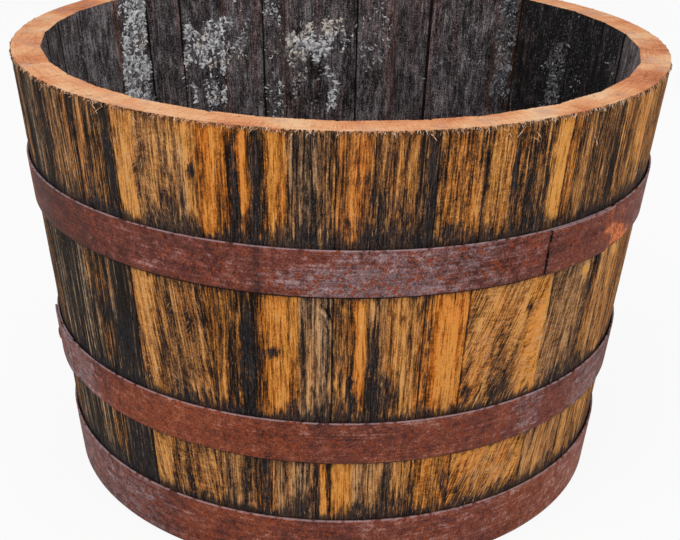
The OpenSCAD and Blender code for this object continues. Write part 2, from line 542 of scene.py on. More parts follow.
# Knots: angle, height, radius in mm
knots = [(-21.5, 405, 3.4), (33.7, 270, 3), (23, 194, 5), (-43, 235, 4), (-9.4, 243, 3.5),
         (128, 380, 5), (163, 230, 6), (-146, 260, 4), (-112, 395, 5)]

# Cracks: angle and height of each end, width in mm, depth in mm
cracks = [
    (-2.15, 292.5, -1.25, 287.5, 1.1, 2.0), (-1.25, 287.5, -.7, 281, 1.5, 2.6), (-.7, 281, -.3, 275, 1.4, 2.4),
    (-.2, 306, -.25, 275, .6, 1.2), (-.3, 275, -.28, 172, .9, 1.6), (-2.75, 128, -2.65, 60, .9, 1.6),
    (-42.5, 250, -43.2, 172, .8, 1.4), (50.2, 301, 49.9, 268, 3.2, 3.4), (19.6, 128, 19.2, 96, .7, 1.2),
    (41, 128, 40.2, 90, .8, 1.4), (121, 445, 121.4, 352, .7, 1.3), (-173.5, 298, -174, 190, .9, 1.6),
    (-124, 440, -124.6, 372, .8, 1.3),
]

# Pale wood beside a crack: angle and height of each end, width in mm, change of tone
paleEdges = [(-2.5, 289, -1.4, 282.5, 1.9, .42), (-1.4, 282.5, -.7, 270, 1.3, .34)]

# Closer rows where a crack slants: stave, then from height, to height, step in mm
closerRows = {6: (264, 301, 1.2)}

# Patches of raised fibres: angle and height of the middle, half width in degrees, half height,
# lean from upright in degrees, how many per square cm, length in mm
fibrePatches = [
    (-23, 240, 2.2, 40, -24, 5, 7), (-25.5, 196, 4, 14, -62, 2.6, 8), (-33, 240, 2, 60, 70, 5, 5),
    (-26, 240, 3.4, 44, 40, 3, 6), (27.5, 232, 4.6, 34, 34, 5, 8), (31, 200, 4, 28, 40, 5, 8),
    (28.5, 94, 4.6, 30, 32, 6, 9), (33, 100, 2.6, 26, 24, 5, 9), (-31.5, 400, 3.4, 44, 52, 3, 6),
    (-27, 395, 3, 44, -30, 3.5, 6), (-23.4, 400, 1.4, 26, 18, 6, 6), (44, 270, 3, 18, 28, 3, 7),
    (-24, 95, 5, 28, 24, 3, 6), (36, 240, 2, 60, 72, 5, 5), (-57, 230, 4, 70, 58, 1.2, 6),
    (-50, 400, 5, 44, 36, 2.5, 6), (-47, 240, 3, 50, 24, 3, 6), (30, 400, 3.6, 44, 16, 3, 4),
    (42, 400, 3, 40, -18, 3, 6), (55, 230, 5, 60, 20, 2.5, 7), (142, 250, 4, 40, 32, 4, 8),
    (203, 216, 4, 30, -36, 4, 8), (258, 110, 5, 40, 28, 4, 8), (96, 400, 5, 40, 20, 3, 7),
]

# Places where wood has chipped off: angle, height, radius in mm
chips = [(46.9, 288, 6.5), (56.4, 293, 4), (57.4, 288, 4), (-155, 300, 6)]

# Washes over the wood: from angle, to angle, from height, to height, then change of greyness,
# of orange, and how strongly the figure of the wood ripples across the grain
washes = [
    (-62.7, -35.4, 172, 300, .34, -.3, -.1), (-62.7, -35.4, 60, 128, .4, -.3, -.1), (-62.7, -53, 346, 450, .2, 0, 0),
    (-47.3, -42.6, 255, 290, -.5, .2, 0), (-46.3, -42.1, 188, 225, -.4, .1, 0), (-46.8, -42.6, 83, 126, -.5, .1, 0),
    (-62.7, -58, 0, 450, .12, 0, .3), (-53.7, -45, 172, 300, .18, 0, .3), (-42, -35.2, 60, 245, .3, 0, .2),
    (-35.2, -30.6, 170, 300, .06, 0, .35), (-30, -21, 170, 300, .14, 0, .3), (-35, -30, 60, 128, .06, 0, .35),
    (-31, -24.2, 346, 450, .16, -.2, .4), (-24.2, -22.4, 360, 425, .36, -.2, .2), (-20.4, -12.7, 346, 450, -.1, .5, 0),
    (-14.6, -12.8, 346, 450, -.2, .5, 0), (-20, -13, 60, 128, .24, 0, .3), (-30, -20, 60, 128, .12, 0, .6),
    (-10.4, -7.4, 346, 450, -.3, .3, 0), (-7, -.9, 346, 450, .3, -.4, 0), (-12, -6, 172, 300, -.2, .3, 0),
    (-6, -.4, 172, 300, .3, -.3, 0), (-10, -3, 60, 128, .3, -.2, 0), (-2.4, -.3, 60, 128, -.2, .3, 0),
    (0, 4.8, 346, 450, 0, .5, 0), (5, 8.4, 346, 450, .12, 0, 0), (11.5, 14.3, 346, 450, .3, -.2, 0),
    (3.2, 4.8, 200, 300, -.2, .6, 0), (5, 8, 172, 300, .24, 0, 0), (0, 3.6, 60, 128, -.2, .4, 0),
    (3.6, 8, 60, 128, .27, -.2, .1), (8, 11, 60, 128, .3, 0, 0), (14.3, 21.8, 346, 450, .12, .1, .3),
    (14.3, 21.8, 172, 300, -.1, .7, .3), (14.3, 21.8, 60, 128, 0, .4, .4), (21.8, 26, 346, 450, .06, .1, .3),
    (26, 33, 346, 450, .18, 0, .3), (33.5, 36.2, 346, 450, -.3, .1, .3), (22, 33, 172, 300, .06, .1, .7),
    (33.5, 38.2, 172, 300, -.1, .35, 1.2), (22, 38, 60, 128, -.05, .2, .9), (38.3, 49, 172, 300, .09, 0, .4),
    (100, 116, 0, 450, .18, 0, .4), (150, 166, 346, 450, -.1, .4, 0), (190, 204, 172, 300, -.1, .5, .6),
    (222, 236, 0, 450, .18, 0, .5), (250, 262, 172, 300, 0, .3, .7),
]

# Blue-black smudges: angle and height of the middle, half width in degrees, half height, strength
smudges = [
    (-28, 354, 4.5, 8, .9), (-23.4, 380, .6, 45, .6), (-31.1, 385, .6, 32, .6), (-38.5, 205, 3.2, 50, .75),
    (-42.6, 240, 1.8, 14, .75), (-39, 93, 3.6, 45, .72), (-36.4, 395, 1.2, 60, .85), (-52, 385, 1.2, 45, .5),
    (-14.8, 395, .7, 60, .9), (-11.6, 395, 1, 60, .9), (-14, 236, 1.6, 70, .8), (-11.8, 94, 1.4, 40, .8),
    (-24, 66, 5, 8, .8), (-30, 215, .7, 36, .7), (6.8, 372, 1.4, 24, .85), (13.4, 398, 1.3, 60, .85),
    (17, 358, 2.4, 12, .85), (29.5, 372, 4, 34, .55), (26.6, 398, .6, 50, .9), (6.4, 240, .9, 26, .85),
    (8, 200, 2.8, 28, .85), (-10.6, 240, 1.4, 7, .9), (30, 188, 3.6, 18, .85), (27.4, 205, .9, 10, .7),
    (-.9, 214, .5, 30, .5), (5.4, 72, 2.6, 14, .85), (9.8, 94, 1.8, 40, .65), (-2.3, 94, .5, 40, .9),
    (14.2, 90, 1, 34, .65), (21, 90, 1.1, 24, .75), (24, 66, 3, 7, .85), (15.2, 240, .7, 60, .6),
    (22.6, 240, .6, 60, .5), (43, 294, 3.4, 10, .7), (51, 288, 1.6, 12, .85), (38.4, 80, .35, 24, .95),
    (46.6, 376, 1.8, 34, .5), (57.4, 366, 2.4, 18, .7), (43, 184, 3.4, 14, .7),
    (56, 190, 4, 20, .6), (46, 70, 4, 12, .7), (92, 400, 2, 60, .7), (111, 200, 3, 34, .8),
    (147, 96, 3, 40, .7), (172, 372, 3, 28, .8), (191, 250, 2, 60, .6), (205, 188, 4, 20, .8),
    (228, 380, 3, 40, .6), (246, 200, 3, 36, .8), (268, 92, 3, 40, .7), (281, 370, 3, 30, .7),
]

# Joints that hardly show: angle, and how dark the gap is
tightJoints = {-62.7: .6, -20.2: .3, -12.7: .35, 38.3: .6, 61.8: .6, 118.3: .5, 158.3: .8}

# Joints that show inside as a rusty line: angle, and how dark the gap is
rustyJoints = {134.8: .2, 140.8: .1, 167.3: .2, 194.3: .2, 209.8: .3, 240.3: .2, -44.2: .3, 61.8: .3}

# How far the grain leans in a stave below the upper hoop, sideways per height
grainLeans = {9: .34, 4: -.1, 10: .12, 18: .15, 25: -.2}

woodLook = {
    "toneSeed": 500,      # a stave's own tones and streaks are drawn from this plus its number
    "toneFade": 30,       # mm over which the tone changes behind a hoop
    "streakEnds": 22,     # mm over which a streak fades at its ends
    "washEnds": 20,
    "washSides": 1.1,     # degrees over which a wash fades at its sides
    "deepestTone": .05,   # darks level off above this
    "sootRise": 1.15,     # strength of the black above a hoop
    "sootFall": .9,       # and below it
    "chipTone": 1.3,
    "knotDepth": .8,      # mm
    "knotTone": .5,       # how much darker a knot is
}


def ownStreaks(chance, start, end):
    # streaks of its own for a stave out of the photograph's sight
    for _ in range(chance.integers(4, 8)):
        at = chance.uniform(start, end)
        wide = chance.uniform(.4, 3.4)
        foot = chance.choice([-40, 120, 300])
        yield at, at + wide, foot, foot + chance.uniform(120, 420), chance.uniform(-.46, .34)


def toneOf(at):
    # how light the wood is at each place of a stave, then how grey
    number, angle, u, z = at.number, at.angle, at.u, at.level
    chance = np.random.default_rng(woodLook["toneSeed"] + number)
    start, end = angle.min(), angle.max()
    listed = list(streaks)
    if number in staveTones:
        top, middle, low, grey = staveTones[number]
    else:
        top = chance.uniform(.32, .7)
        middle = np.clip(top + chance.uniform(-.2, .2), .2, .78)
        low = np.clip(middle + chance.uniform(-.16, .16), .2, .74)
        grey = chance.uniform(.05, .5)
        listed += ownStreaks(chance, start, end)
    fade = woodLook["toneFade"]
    tone = low + (middle - low) * smooth((z - np.mean(hoopHeights["middle_hoop"])) / fade + .5)
    tone = tone + (top - middle) * smooth((z - np.mean(hoopHeights["upper_hoop"])) / fade + .5)
    wander = (layered(u * .05, z * .008, 31) - .5) * 1.4 + (layered(u * .34, z * .05, 32) - .5) * 1.3
    ragged = (lattice(u * .8, z * .002, 33) - .5) * 44 + (lattice(u * .2, 0, 34) - .5) * 30
    uneven = .55 + .9 * layered(u * .22, z * .026, 35)
    for fromAngle, toAngle, fromZ, toZ, change in listed:
        if toAngle < start - 1 or fromAngle > end + 1:
            continue
        side = between(angle + wander * .6, fromAngle, toAngle, min(.8, (toAngle - fromAngle) * .6))
        length = between(z + ragged, fromZ - 4, toZ + 8, woodLook["streakEnds"])
        tone = tone + (.8 if change < 0 else 1) * change * side * length * uneven
    return np.maximum(tone, .3 * tone + woodLook["deepestTone"]), grey


def sootOf(at):
    # blackening that creeps up above each hoop, shadows it below, and fills the joints
    u, angle, z = at.u, at.angle, at.level
    soot = 0 * z
    clumps = .2 + 1.6 * layered(u * .09, z * .05, 57)
    for number, (low, high) in enumerate(hoopHeights.values()):
        creep = 3.5 + 30 * layered(angle * .16, 0 * z, 51 + number) ** 2.6 * 2.4
        creep = creep * (.45 + 1.1 * lattice(u * .9, z * .01, 55 + number)) * clumps
        rise = np.where(z > low, np.exp(-np.maximum(z - high - 2, 0) / creep), 0)
        under = (2 + 6 * lattice(angle * .3, 0, 61 + number)) * clumps
        fall = np.where(z < high, np.exp(-np.maximum(low - z, 0) / under), 0)
        soot = np.maximum(soot, np.maximum(rise * woodLook["sootRise"], fall * woodLook["sootFall"]))
    cloudy = .75 + .7 * layered(angle * .7, z * .03, 59)
    for midAngle, midZ, halfWidth, halfHeight, strength in smudges:
        away = np.hypot((turned(angle) - midAngle) / halfWidth, (z - midZ) / halfHeight) * cloudy
        soot = np.maximum(soot, strength * smooth(1.5 - away))
    jointWidth = .5 + 1.6 * layered(angle * .9, z * .02, 71) ** 2 * 2
    return np.maximum(soot, at.openness * np.exp(-np.maximum(at.edge - .3, 0) / (jointWidth * at.openness)))


def opennessOf(at, joints):
    # how open the nearer joint of a stave is: 1 for a dark gap, 0 for staves that look like one
    first, last = (next((openness for listed, openness in joints.items() if abs(turned(side - listed, -180)) < .8), 1)
                   for side in (at.start, at.end))
    return np.where(at.angle < at.mid, first, last)


def washOf(at):
    # change of greyness, orange and ripple at each place
    u, angle, z = at.u, at.angle, at.level
    ragged = (lattice(u * .5, z * .004, 36) - .5) * 1.2
    raggedUp = (lattice(u * .7, z * .004, 37) - .5) * 30
    grey, orange, curl = 0 * z, 0 * z, .12 + 0 * z
    for fromAngle, toAngle, fromZ, toZ, moreGrey, moreOrange, moreCurl in washes:
        share = between(turned(angle) + ragged, fromAngle, toAngle, woodLook["washSides"])
        share = share * between(z + raggedUp, fromZ - 6, toZ + 6, woodLook["washEnds"])
        grey = grey + share * moreGrey
        orange = orange + share * moreOrange
        curl = curl + share * moreCurl
    return grey, orange, curl


def fibresOf(angle, z):
    # how many raised fibres there are per square cm, how far they lean and how long they are
    count = .12 + .8 * layered(angle * .3, z * .03, 38) ** 2
    lean, length = 0 * z, 6 + 0 * z
    for midAngle, midZ, halfWidth, halfHeight, leaning, many, longest in fibrePatches:
        x = np.abs(turned(angle) - midAngle) / halfWidth
        y = np.abs(z - midZ) / halfHeight
        share = smooth(2.2 - 1.7 * np.hypot(x, y))
        count = count + .75 * share * many
        lean = lean + share * (leaning - lean)
        length = length + share * (1.4 * longest - length)
    for low, high in hoopHeights.values():
        count = count * ((z < low - 2) | (z > high + 2))
    return count * (z < caskHeight - 6), lean, length


# Oak, outside: amber wood under grey fibres, black streaks and pale scratches, with painted glints and a painted shadow
# line under the upper hoops

# Painted shadow: a thin dark line on the wood right under the two upper hoops, where they shade it: metres under the
# hoop over which it comes and goes
hoopShadowLine = {"comes": (-.004, -.003), "goes": (.0019, .0031), "strength": .88}


def makeOakOutside():
    material, tree = newMaterial("weatheredOak", .05, .8)
    at = attributeOf(tree, "grainAt", "Vector")
    tone, grey, soot = split(attributeOf(tree, "look", "Vector"))
    relief, orange, curl = split(attributeOf(tree, "wear", "Vector"))
    at = vectorCalc("ADD", at, combine(swing(noiseOf(at, (.035, .007, 1), 2), 7.0)))
    broad = noiseOf(at, (.10, .009, 1), 3, .5)
    mottle = noiseOf(at, (.20, .055, 1), 4, .65)
    fibre = noiseOf(at, (.42, .020, 1), 3, .6)
    fine = noiseOf(at, (.95, .12, 1), 3, .65)
    grit = noiseOf(at, (1.2, .55, 1), 2, .6)
    thread = noiseOf(at, (.52, .006, 1), 2)
    hair = noiseOf(at, (.8, .03, 1), 2, .6)
    paleFlecksAndGlints = noiseOf(at, (.75, .30, 1), 2, .5)
    ripple = noiseOf(at, (.09, .30, 1), 3, .55, 1.2)

    # how light the wood is; pale wood has quieter fibres, and darks level off softly
    rough = swing(fibre, 1.0) + swing(fine, 1.1) + swing(grit, .9) + swing(hair, 1.3) + relief * .10
    rough = rough + swing(thread, 2.0) * (grey + .3)
    value = tone + swing(broad, 1.1) + swing(mottle, .85)
    value = value + rough * mapped(value, .3, .95, 1.1, .74)
    value = calc("SMOOTH_MAX", value + curl * swing(ripple, 1.5), .09, .22)
    wood = rampOf(value, [
        (0, (.004, .003, .003)), (.14, (.020, .012, .008)), (.28, (.074, .034, .015)),
        (.44, (.200, .078, .022)), (.60, (.400, .146, .028)), (.78, (.630, .248, .044)),
        (1, (.880, .410, .105))])
    weathered = rampOf(value, [
        (0, (.005, .005, .005)), (.15, (.026, .020, .017)), (.34, (.080, .056, .041)),
        (.54, (.185, .124, .080)), (.78, (.350, .240, .155)), (1, (.560, .415, .285))])
    greyShare = calc("MULTIPLY", grey, swing(broad, -2.6) + 1.15, clamp=True)
    colour = blendColour(greyShare, wood, weathered)
    warmHere = calc("ADD", orange, swing(noiseOf(at, (.06, .006, 1), 2), 2.4), clamp=True)
    colour = blendColour(warmHere, colour, tinted(colour, (1.05, .78, .55)))
    ochre = stepUp(noiseOf(at, (.13, .05, 1)), .55, .68)
    colour = blendColour(ochre * .5, colour, tinted(colour, (.92, 1.0, .80)))

    # soot darkens the wood and leaves its fibres
    sootHere = stepUp(soot + swing(fibre, -1.0) + swing(mottle, -1.8) + swing(fine, -.8), .22, 1.0)
    slate = rampOf(fine + swing(grit, .6), [
        (.28, (.003, .003, .003)), (.5, (.018, .016, .018)), (.75, (.062, .058, .066))])
    sooted = blendColour(1.0, tinted(colour, (.09, .09, .10)), slate, "ADD")
    colour = blendColour(sootHere, colour, sooted)

    # pale hairs, grey flecks painted as glints (painted highlights) and pores over the dark parts
    dark = calc("MAXIMUM", sootHere, 1.0 - stepUp(value, .12, .42))
    colour = blendColour(stepUp(hair, .5, .7) * dark * .45, colour, (.090, .066, .050))
    # painted highlight: sparse grey glints over the dark wood
    colour = blendColour(stepUp(paleFlecksAndGlints, .66, .74) * dark * .6, colour, (.190, .175, .175))
    pore = stepUp(noiseOf(at, (.8, .10, 1), 2, .5), .62, .72) * (1.0 - dark)
    colour = blendColour(pore * .35, colour, (.050, .024, .011))
    colour = tinted(colour, rampOf(hair + swing(grit, .5), [
        (.3, (.80, .76, .70)), (.5, (.97, .95, .93)), (.72, (1.0, 1.0, 1.0))]))

    # painted shadow: a thin dark line on the wood right under each of the two upper hoops
    z = split(objectPlace(tree))[2]
    for name in ("upper_hoop", "middle_hoop"):
        below = hoopHeights[name][0] * mm - z
        line = stepUp(below, *hoopShadowLine["comes"]) - stepUp(below, *hoopShadowLine["goes"])
        colour = blendColour(line * hoopShadowLine["strength"], colour, (.008, .006, .006))
    return endMaterial(material, colour, fibre + fine * .7, .0014, .8)


# Oak, sawn rim: salmon end grain with saw marks

def makeOakRim():
    material, tree = newMaterial("sawnOak", .12, .8)
    at = objectPlace(tree)
    sawAt = attributeOf(tree, "sawAt", "Vector")
    grain = noiseOf(at, 600, 3, .7)
    saw = noiseOf(sawAt, (.9, .05, 1), 3, .65)
    rings = noiseOf(sawAt, (.05, .42, 1), 3, .6, .4)
    value = attributeOf(tree, "rimTint") + swing(noiseOf(at, 16), 1.7) + swing(grain, .6)
    value = value + swing(saw, .8) + swing(rings, .7)
    colour = rampOf(value, [
        (0, (.22, .075, .040)), (.25, (.50, .165, .070)), (.5, (.76, .285, .120)),
        (.78, (.90, .455, .225)), (1, (.94, .600, .350))])
    colour = blendColour(stepUp(noiseOf(at, 34), .5, .68) * .4, colour, (.50, .27, .24))
    colour = blendColour(stepUp(noiseOf(at, 230, 2), .64, .74) * .6, colour, (.16, .07, .05))
    return endMaterial(material, colour, grain + saw * 1.5, .0008, .8)


# Oak, inside: char with fine ridges and pale ash

def makeOakChar():
    material, tree = newMaterial("charredOak", .12, .75)
    at = attributeOf(tree, "grainAt", "Vector")
    tint, crust, soot = split(attributeOf(tree, "look", "Vector"))
    relief, _, rust = split(attributeOf(tree, "wear", "Vector"))
    mottle = noiseOf(at, (.12, .05, 1), 4, .65)
    fibre = noiseOf(at, (.36, .022, 1), 4, .65)
    fine = noiseOf(at, (.8, .10, 1), 3, .65)
    value = tint + swing(noiseOf(at, (.05, .02, 1)), .8) + swing(mottle, 1.3) + swing(fibre, 1.1)
    value = value + swing(fine, 1.3) + swing(noiseOf(at, (.75, .6, 1), 3, .65), 1.9) + relief * .12
    checks = calc("ABSOLUTE", swing(noiseOf(at, (.10, .34, 1), 3, .6, .8), 1.0))
    value = value - (1.0 - stepUp(checks, .0, .035)) * .3
    colour = rampOf(value, [
        (0, (.004, .004, .004)), (.25, (.020, .017, .018)), (.5, (.072, .058, .060)),
        (.75, (.165, .138, .142)), (1, (.370, .335, .345))])
    rusty = calc("MAXIMUM", stepUp(noiseOf(at, (.10, .006, 1)), .5, .66) * .4, rust)
    colour = blendColour(rusty, colour, tinted(colour, (1.7, 1.0, .85)))
    colour = blendColour(rust * .7, colour, (.120, .052, .030))
    ash = stepUp(crust + swing(noiseOf(at, (.3, .15, 1), 4, .7), 2.2) + swing(fine, 1.6), .55, 1.2)
    colour = blendColour(ash * .35, colour, (.24, .23, .24))
    paleFlecksAndGlints = stepUp(noiseOf(at, (.62, .34, 1), 2, .5), .61, .70) * stepUp(mottle + crust, .42, .72)
    colour = blendColour(paleFlecksAndGlints * .6, colour, (.330, .320, .340))
    colour = blendColour(stepUp(soot, .35, .95), colour, (.005, .004, .004))
    return endMaterial(material, colour, fibre + fine * .7, .0016, .9)


oakOutside = makeOakOutside()
oakRim = makeOakRim()
oakChar = makeOakChar()
print("oak finishes made")


# Staves

staveBuild = {
    "columnStep": .95,     # mm between columns round the rim
    "rowStep": 4.2,
    "rimStep": 2.0,
    "footSteps": 5,        # steps across the foot
    "nearJoint": (0, .45, 1.0, 1.7),               # closer columns beside a joint
    "nearRim": (7.5, 4.6, 2.8, 1.5, .7, 0),        # closer rows under the rim
    "sharpAngle": 40,
    "arris": 1.7,          # rounding of the long edges
    "ridges": .55,         # depth of the weathered fibres
    "sink": .8,            # how far a stave may lie in from its neighbours
    "bevelHeight": 22.0,
    "chime": 18.0,
    "grooveHalf": 2.7,
    "grooveDepth": 7.0,
    "rimWear": 2.4,
    "notches": 2.6,
    "closeUp": .13,        # how much each side fills the gap to its neighbour
    "seed": 200,           # seeds of a stave count up from this, five a stave
    "grainApart": 53.7,    # so that no two staves share a piece of grain
    "sawApart": 31.3,
    "innerTint": .56,
    "rimTint": .76,
}

# Patches of pale crust on the charred inside: from angle, to angle, from height, to height,
# strength, brightness
crustPatches = [
    (181, 194.2, 350, 395, 1, 1), (176.5, 180, 362, 385, .6, .8), (180, 184.5, 286, 332, .9, .95),
    (189.8, 193, 318, 350, .8, .7), (190, 193, 290, 312, .4, .7), (184, 186.4, 408, 434, .5, .8),
    (194.6, 199.8, 60, 450, .55, .85), (203.5, 209, 350, 396, .7, .7), (209, 221.5, 345, 402, 1, .95),
    (221, 226, 358, 376, .6, .8), (206, 208.5, 332, 346, .6, .75), (210.5, 216, 298, 336, .85, .95),
    (217, 221, 316, 334, .7, .8), (204.5, 206.2, 310, 322, .6, .8), (205.5, 208, 410, 434, .5, .8),
    (213, 215.4, 400, 422, .4, .7), (231.4, 239.6, 40, 450, 1, 1), (169, 176, 330, 420, .6, .6),
    (143, 156, 340, 400, .3, .4), (161, 166.6, 330, 410, .35, .45),
    (168, 170, 350, 380, .7, .75), (118.6, 124.5, 333, 410, .7, .32), (134.9, 140.6, 325, 446, .8, .42),
    (187, 192, 190, 260, .5, .8), (216, 226, 150, 230, .6, .8), (20, 34, 250, 360, .6, .8),
    (-30, -18, 150, 320, .7, .9), (60, 72, 90, 420, .5, .8), (-80, -66, 220, 400, .6, .8),
]


def crustOf(angle, z):
    ragged = (layered(angle * .5, z * .06, 83) - .5) * 9
    raggedUp = (layered(angle * .5, z * .03, 84) - .5) * 56
    crust = .34 * layered(angle * .16, z * .02, 85) ** 2 * 2
    brightness = .6 + 0 * z
    for fromAngle, toAngle, fromZ, toZ, strength, bright in crustPatches:
        side = between(turned(angle, -80) + ragged * .5, fromAngle, toAngle, 1.6)
        share = side * between(z + raggedUp, fromZ, toZ, 14)
        crust = np.maximum(crust, strength * share)
        brightness = brightness + share * (bright - brightness)
    return crust, brightness


def heightRows(number):
    build = staveBuild
    low, high = crozeZ - build["grooveHalf"], crozeZ + build["grooveHalf"]
    edge = caskHeight - np.array(build["nearRim"])
    count = round((edge[0] - high) / build["rowStep"])
    rising = np.linspace(high, edge[0], count + 1)[1:-1]
    if number in closerRows:
        fromZ, toZ, step = closerRows[number]
        rising = np.concatenate([rising[rising < fromZ], np.arange(fromZ, toZ, step), rising[rising > toZ]])
    rows = [0, build["bevelHeight"] / 2, build["bevelHeight"], low - 8, low, low + .05, high - .05, high]
    return np.concatenate([rows, rising, edge])


def columnAngles(start, end):
    perDegree = math.radians(1) * rimRadius
    width = (end - start) * perDegree
    near = np.array(staveBuild["nearJoint"])
    count = max(4, round((width - 2 * near[-1]) / staveBuild["columnStep"]))
    middle = np.linspace(near[-1], width - near[-1], count + 1)[1:-1]
    return start + np.concatenate([near, middle, (width - near)[::-1]]) / perDegree


def staveLoop(number):
    # round the section of a stave: up the outside, across the rim, down the inside, across the foot.
    # Each point has a height and how far it lies from the outside (0) to the inside (1).
    rows = heightRows(number)
    across = np.linspace(0, 1, round(staveThick / staveBuild["rimStep"]) + 1)[1:-1]
    footAcross = np.linspace(1, 0, staveBuild["footSteps"] + 1)[1:-1]
    heights = np.concatenate([rows, 0 * across + caskHeight, rows[::-1], 0 * footAcross])
    depths = np.concatenate([0 * rows, across, 0 * rows + 1, footAcross])
    return heights, depths, len(rows), len(across)


def staveFaces(index, rowCount, rimCount):
    # the faces round a stave, then its two side walls, and the material of each face:
    # 0 outside and walls, 1 rim, 2 inside
    kinds = np.zeros(index.shape[1], int)
    kinds[rowCount - 1:rowCount + rimCount] = 1
    kinds[rowCount + rimCount:2 * rowCount + rimCount - 1] = 2
    faces = tubeFaces(index)
    faceMaterials = list(np.tile(kinds, len(index) - 1))
    lowest = 2 * rowCount + rimCount - 1   # where the inside meets the foot
    for wall, way in ((index[0], 1), (index[-1], -1)):
        for row in range(rowCount - 1):
            ring = [row, row + 1]
            if row == rowCount - 2:
                ring += range(rowCount, rowCount + rimCount)
            ring += [lowest - row - 1, lowest - row]
            if row == 0:
                ring += range(lowest + 1, len(wall))
            faces.append(wall[ring][::way].tolist())
            faceMaterials.append(0)
    return faces, faceMaterials


def plainInside(z, turn):
    # how far the plain inside lies from the axis: a flat face, the bevel at the foot, the head's groove
    build = staveBuild
    inner = (outerRadius(z) - staveThick) / np.cos(turn)
    share = np.clip(z / build["bevelHeight"], 0, 1)
    bevel = (footRadius - build["chime"]) * (1 - share)
    bevel = bevel + (outerRadius(build["bevelHeight"]) - staveThick) * share
    inner = np.where(z <= build["bevelHeight"], np.maximum(inner, bevel), inner)
    groove = outerRadius(crozeZ) - staveThick + build["grooveDepth"]
    return np.where(np.abs(z - crozeZ) < build["grooveHalf"] - .02, np.maximum(inner, groove), inner)


def lineDistance(x, z, fromX, fromZ, toX, toZ):
    # distance in mm from a straight line drawn on the outside of the cask
    dx, dz = toX - fromX, toZ - fromZ
    along = np.clip(((x - fromX) * dx + (z - fromZ) * dz) / (dx * dx + dz * dz), 0, 1)
    return np.hypot(x - fromX - along * dx, z - fromZ - along * dz)


def marksOf(angle, z, perDegree):
    # how deep the cracks and knots go, how dark each of them is, and the pale wood beside them
    depth, crackShade, knotShade, pale = 0 * z, 0 * z, 0 * z, 0 * z
    x = angle * perDegree

    def away(fromAngle, fromZ, toAngle, toZ):
        return lineDistance(x, z, fromAngle * perDegree, fromZ, toAngle * perDegree, toZ)

    for *line, width, deep in cracks:
        distance = away(*line) / width
        depth = depth + deep * smooth(1 - distance)
        crackShade = np.maximum(crackShade, smooth(1.3 - distance))
    for *line, width, change in paleEdges:
        pale = pale + change * smooth(1.3 - away(*line) / width)
    for knotAngle, knotZ, size in knots:
        distance = np.hypot((angle - knotAngle) * perDegree, (z - knotZ) * .7) / size
        depth = depth + woodLook["knotDepth"] * smooth(1.2 - distance)
        knotShade = np.maximum(knotShade, smooth(1.6 - distance))
    return depth, crackShade, knotShade, pale


def stavePlaces(name):
    # where the points of a stave lie before any wear, and what follows from it
    at = SimpleNamespace(number=int(name[-2:]))
    at.seed = staveBuild["seed"] + at.number * 5
    closed = math.degrees(staveBuild["closeUp"] / rimRadius)
    at.start, at.end = spans[name][0] - closed, spans[name][1] + closed
    at.mid = (at.start + at.end) / 2
    heights, depths, at.rowCount, at.rimCount = staveLoop(at.number)
    at.angle, at.level = np.meshgrid(columnAngles(at.start, at.end), heights, indexing="ij")
    at.depth = depths[None, :] + 0 * at.angle
    at.outside, at.inside = at.depth == 0, at.depth == 1
    at.fromTop = caskHeight - at.level
    at.perDegree = math.radians(1) * outerRadius(caskHeight * .6)
    at.u = (at.angle - at.mid) * at.perDegree
    at.edge = np.minimum(at.angle - at.start, at.end - at.angle) * math.radians(1) * outerRadius(at.level)
    at.openness = opennessOf(at, tightJoints)
    at.ridge = lattice(at.u * .34, at.level * .016, at.seed) * .45
    at.ridge = at.ridge + lattice(at.u * .8, at.level * .035, at.seed + 1) * .55
    at.torn = lattice(at.u * .55, 0, at.seed + 4) * .6 + lattice(at.u * 1.4, 0, at.seed + 5) * .4
    return at


def wearOf(at, chance):
    # how far weather took the outside in: ridges of fibre, rounded arrises, a worn top edge
    build = staveBuild
    grey = staveTones.get(at.number, (0, 0, 0, chance.uniform(.1, .5)))[3]
    wave = layered(at.u * .02, at.level * .006, at.seed + 2)
    drop = chance.uniform(0, build["sink"]) + build["ridges"] * (.6 + 1.2 * grey) * (1 - at.ridge) + .7 * (1 - wave)
    uneven = .4 + layered(at.u * 0 + at.number, at.level * .02, at.seed + 3)
    arris = build["arris"] * uneven * (.35 + .65 * at.openness)
    drop = drop + arris * (1 - np.sqrt(1 - (1 - np.clip(at.edge / arris, 0, 1)) ** 2)) * .8
    wornMore = 1 + .9 * between(at.angle, -46, -22, 8)
    return drop + build["rimWear"] * at.torn * wornMore * np.exp(-at.fromTop / (1.2 + 3 * at.torn))


def sawnRim(at):
    # the heights once the rim is sawn unevenly, and the small notches in its outer edge
    sawn = .25 * lattice(at.angle * 2.2, at.depth * 6, at.seed + 9)
    sawn = sawn + .35 * layered(at.angle * .4, at.depth * 2, 97) + .25 * np.exp(-at.edge / .8)
    rimEdge = .5 * np.exp(-at.depth * staveThick / 1.2) + .5 * np.exp(-(1 - at.depth) * staveThick / 1.2)
    notch = staveBuild["notches"] * smooth((lattice(at.u * .62, 0, at.seed + 10) - .38) / .4) * at.outside
    notch = notch * (.3 + .7 * lattice(at.u * .09, 0, at.seed + 11))
    sunk = sawn + rimEdge * (.4 + at.torn) + notch
    return np.where(at.outside | at.inside, caskHeight - np.maximum(at.fromTop, sunk + .15 * at.fromTop),
                    at.level - (at.level >= caskHeight - .01) * sunk), notch


